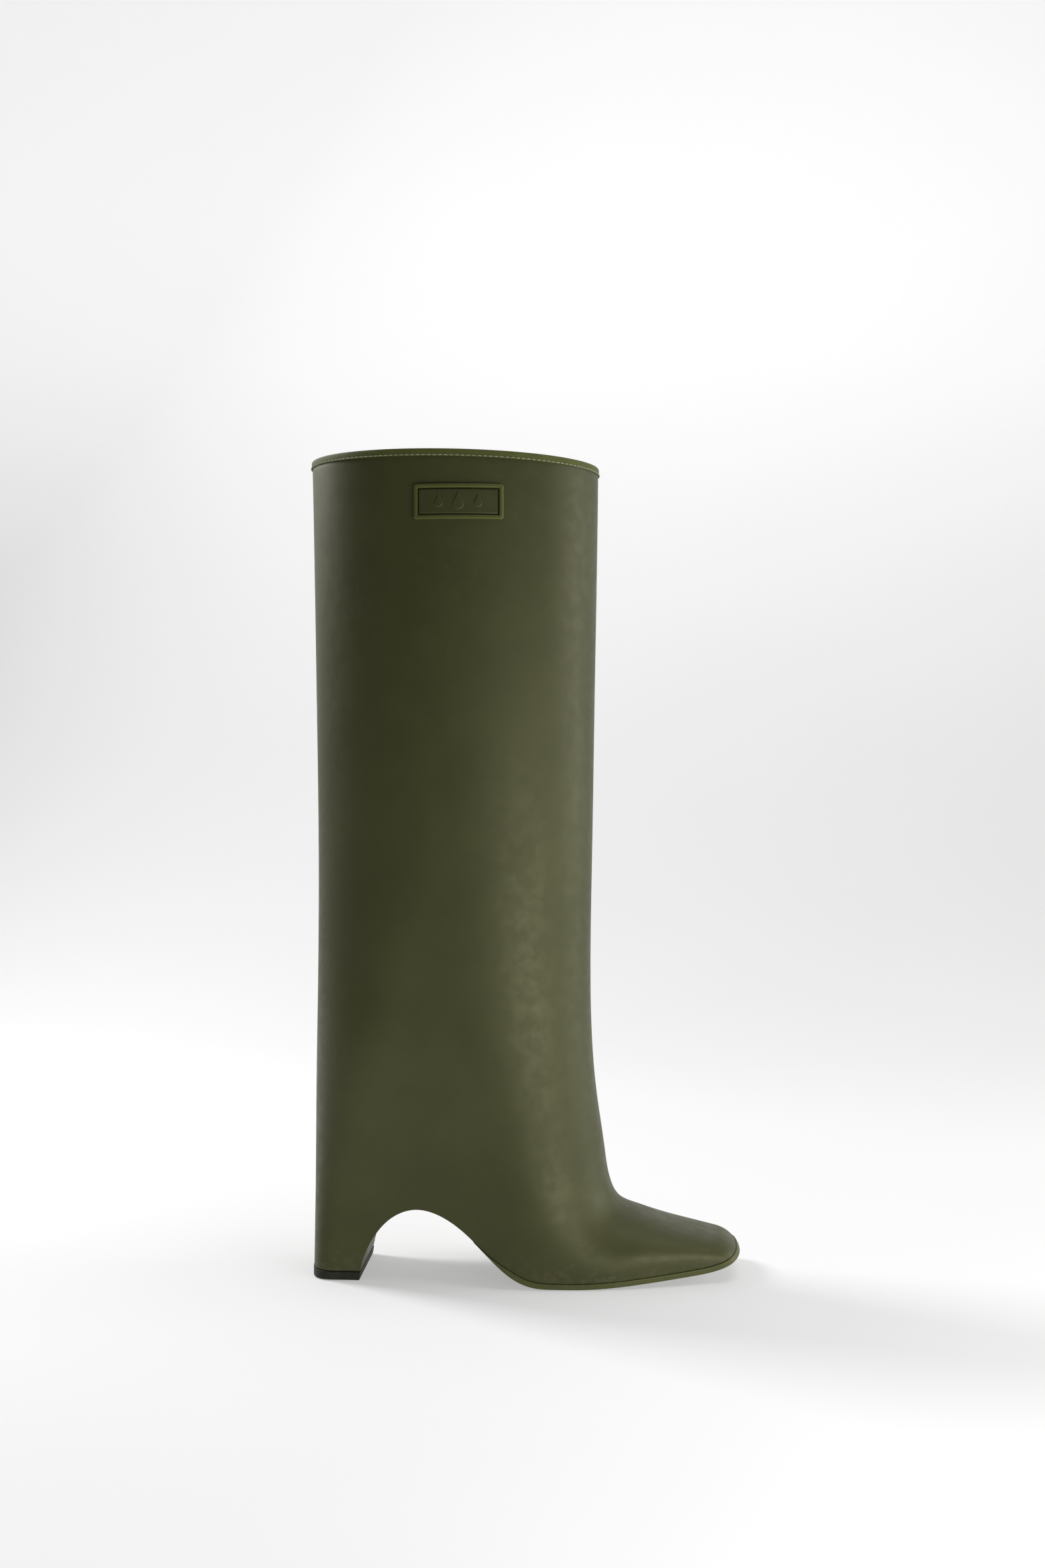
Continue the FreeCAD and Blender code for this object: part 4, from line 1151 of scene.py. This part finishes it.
def label_panel():
    """The label's inner panel, with three raindrops raised on it."""
    inset = LABEL_FRAME + GROOVE
    width, height = LABEL_SIZE[0] / 2 - inset, LABEL_SIZE[1] / 2 - inset
    across_shares = panel_shares(width, PANEL_STEPS[0])
    up_shares = panel_shares(height, PANEL_STEPS[1])
    u, v = np.meshgrid(across_shares, up_shares)
    x, z = u * width, v * height
    into_corner = np.maximum(np.abs(z) - height + PANEL_CORNER, 0)
    round_corner = np.sqrt(np.maximum(PANEL_CORNER ** 2 - into_corner ** 2, 0))
    reach = width - np.maximum(PANEL_CORNER - round_corner, 0)
    x = x * reach / width
    edge = np.minimum(reach - np.abs(x), height - np.abs(z))
    rise = PANEL_PROUD * (0.8 + 0.2 * ease(edge / PANEL_EDGE))
    for i, radius in enumerate(DROP_SIZES):
        away = drop_distance(x - (i - 1) * DROP_PITCH, z + radius / 2, radius)
        rise = rise + (MOTIF_PROUD - PANEL_PROUD) * ease(0.5 - away / DROP_EDGE)
    x, z = x + LABEL_CENTRE[0], z + LABEL_CENTRE[1]
    points = []
    rows = [add(points, on_shaft(px, pz, pr)) for px, pz, pr in zip(x, z, rise)]
    backs = [add(points, on_shaft(px, pz, FILM)) for px, pz in zip(x, z)]
    faces = net(rows) + net(backs)
    rims = [(rows[0], backs[0]), (rows[-1], backs[-1]),
            ([row[0] for row in rows], [row[0] for row in backs]),
            ([row[-1] for row in rows], [row[-1] for row in backs])]
    for first, second in rims:
        faces += strip(first, second)
    return finish_mesh("label_inner_panel", points, faces, panel_rubber,
                       ["label_panel"], levels=0)


boot_shell()
shaft_lining()
foot_lining()
outsole()
top_lift()
footbed()
rim_binding()
rim_stitching()
backstay_tape()
label_frame()
label_panel()


# ---- floor, lights and camera

FLOOR = -0.0004  # just clear of the boot's lowest point, in metres
BEND_POINTS = 25
PAPER_COLUMNS = 9


def backdrop():
    """A pale floor that curves up into a pale wall behind the boot."""
    front, back, half, bend, top = -2.6, 1.6, 3.4, 0.9, 3.4
    side = [(front, FLOOR), (0.0, FLOOR), (back - bend, FLOOR)]
    side += [(back - bend + bend * math.sin(a), FLOOR + bend - bend * math.cos(a))
             for a in np.linspace(0, math.pi / 2, BEND_POINTS)[1:]]
    side.append((back, top))
    verts = []
    rows = [add(verts, [(x, y, z) for x in np.linspace(-half, half, PAPER_COLUMNS)]) for y, z in side]
    faces = net(rows)
    mesh = bpy.data.meshes.new("backdrop")
    mesh.from_pydata(verts, [], faces)
    mesh.shade_smooth()
    obj = bpy.data.objects.new("backdrop", mesh)
    bpy.context.scene.collection.objects.link(obj)
    shader = Shader("pale_paper", **{"Specular_IOR_Level": 0.1, "Emission_Color": rgba(1.0, 1.0, 1.0)})
    glow = shader.ranged(shader.axis("Z"), 0.0, 1.2, 0.38, 0.68)
    shader.links.new(glow, shader.principled.inputs["Emission Strength"])
    tone = shader.noise(400, 2)
    dark, pale = rgba(0.50, 0.50, 0.50), rgba(0.51, 0.51, 0.51)
    shader.colour(shader.shades(tone, 0.3, 0.7, dark, pale))
    shader.rough(tone, 0.85, 0.9)
    mesh.materials.append(shader.material)


def softbox(name, place, aim, size, power):
    light = bpy.data.lights.new(name, "AREA")
    light.shape = "RECTANGLE"
    light.size, light.size_y = size
    light.energy = power
    obj = bpy.data.objects.new(name, light)
    obj.location = place
    direction = Vector(aim) - Vector(place)
    obj.rotation_euler = direction.to_track_quat("-Z", "Y").to_euler()
    bpy.context.scene.collection.objects.link(obj)


CAMERA_TURN = 2.8  # degrees from square on, towards the toe
CAMERA_DISTANCE = 993.0  # from the boot's middle plane
CAMERA_HEIGHT = 272.7
CAMERA_SHIFT = -2.1  # along the boot, before the turn
LENS = 40.5


def camera():
    turn = math.radians(CAMERA_TURN)
    x = CAMERA_SHIFT * math.cos(turn) + CAMERA_DISTANCE * math.sin(turn)
    y = CAMERA_SHIFT * math.sin(turn) - CAMERA_DISTANCE * math.cos(turn)
    data = bpy.data.cameras.new("camera")
    data.lens = LENS
    data.sensor_width = 36.0
    data.clip_start, data.clip_end = 0.01, 20.0
    obj = bpy.data.objects.new("camera", data)
    obj.location = (x * MM, y * MM, CAMERA_HEIGHT * MM)
    obj.rotation_euler = (math.pi / 2, 0, turn)
    bpy.context.scene.collection.objects.link(obj)
    bpy.context.scene.camera = obj


backdrop()
softbox("right_softbox", (1.25, 0.10, 0.35), (0.0, 0.0, 0.2), (0.8, 1.0), 9)
softbox("low_softbox", (0.46, -0.52, 0.10), (0.03, 0.0, 0.06), (0.50, 0.16), 2.6)
softbox("left_softbox", (-1.05, 0.48, 1.05), (-0.08, 0.0, 0.42), (0.4, 0.5), 18)
softbox("top_softbox", (0.45, -0.15, 1.7), (0.0, 0.0, 0.2), (1.0, 1.0), 8)
camera()

world = bpy.data.worlds.new("studio")
world.use_nodes = True
world.node_tree.nodes["Background"].inputs["Color"].default_value = rgba(1.0, 1.0, 1.0)
world.node_tree.nodes["Background"].inputs["Strength"].default_value = 0.10
bpy.context.scene.world = world
bpy.context.scene.view_settings.view_transform = "Standard"  # keeps the rubber's own colour
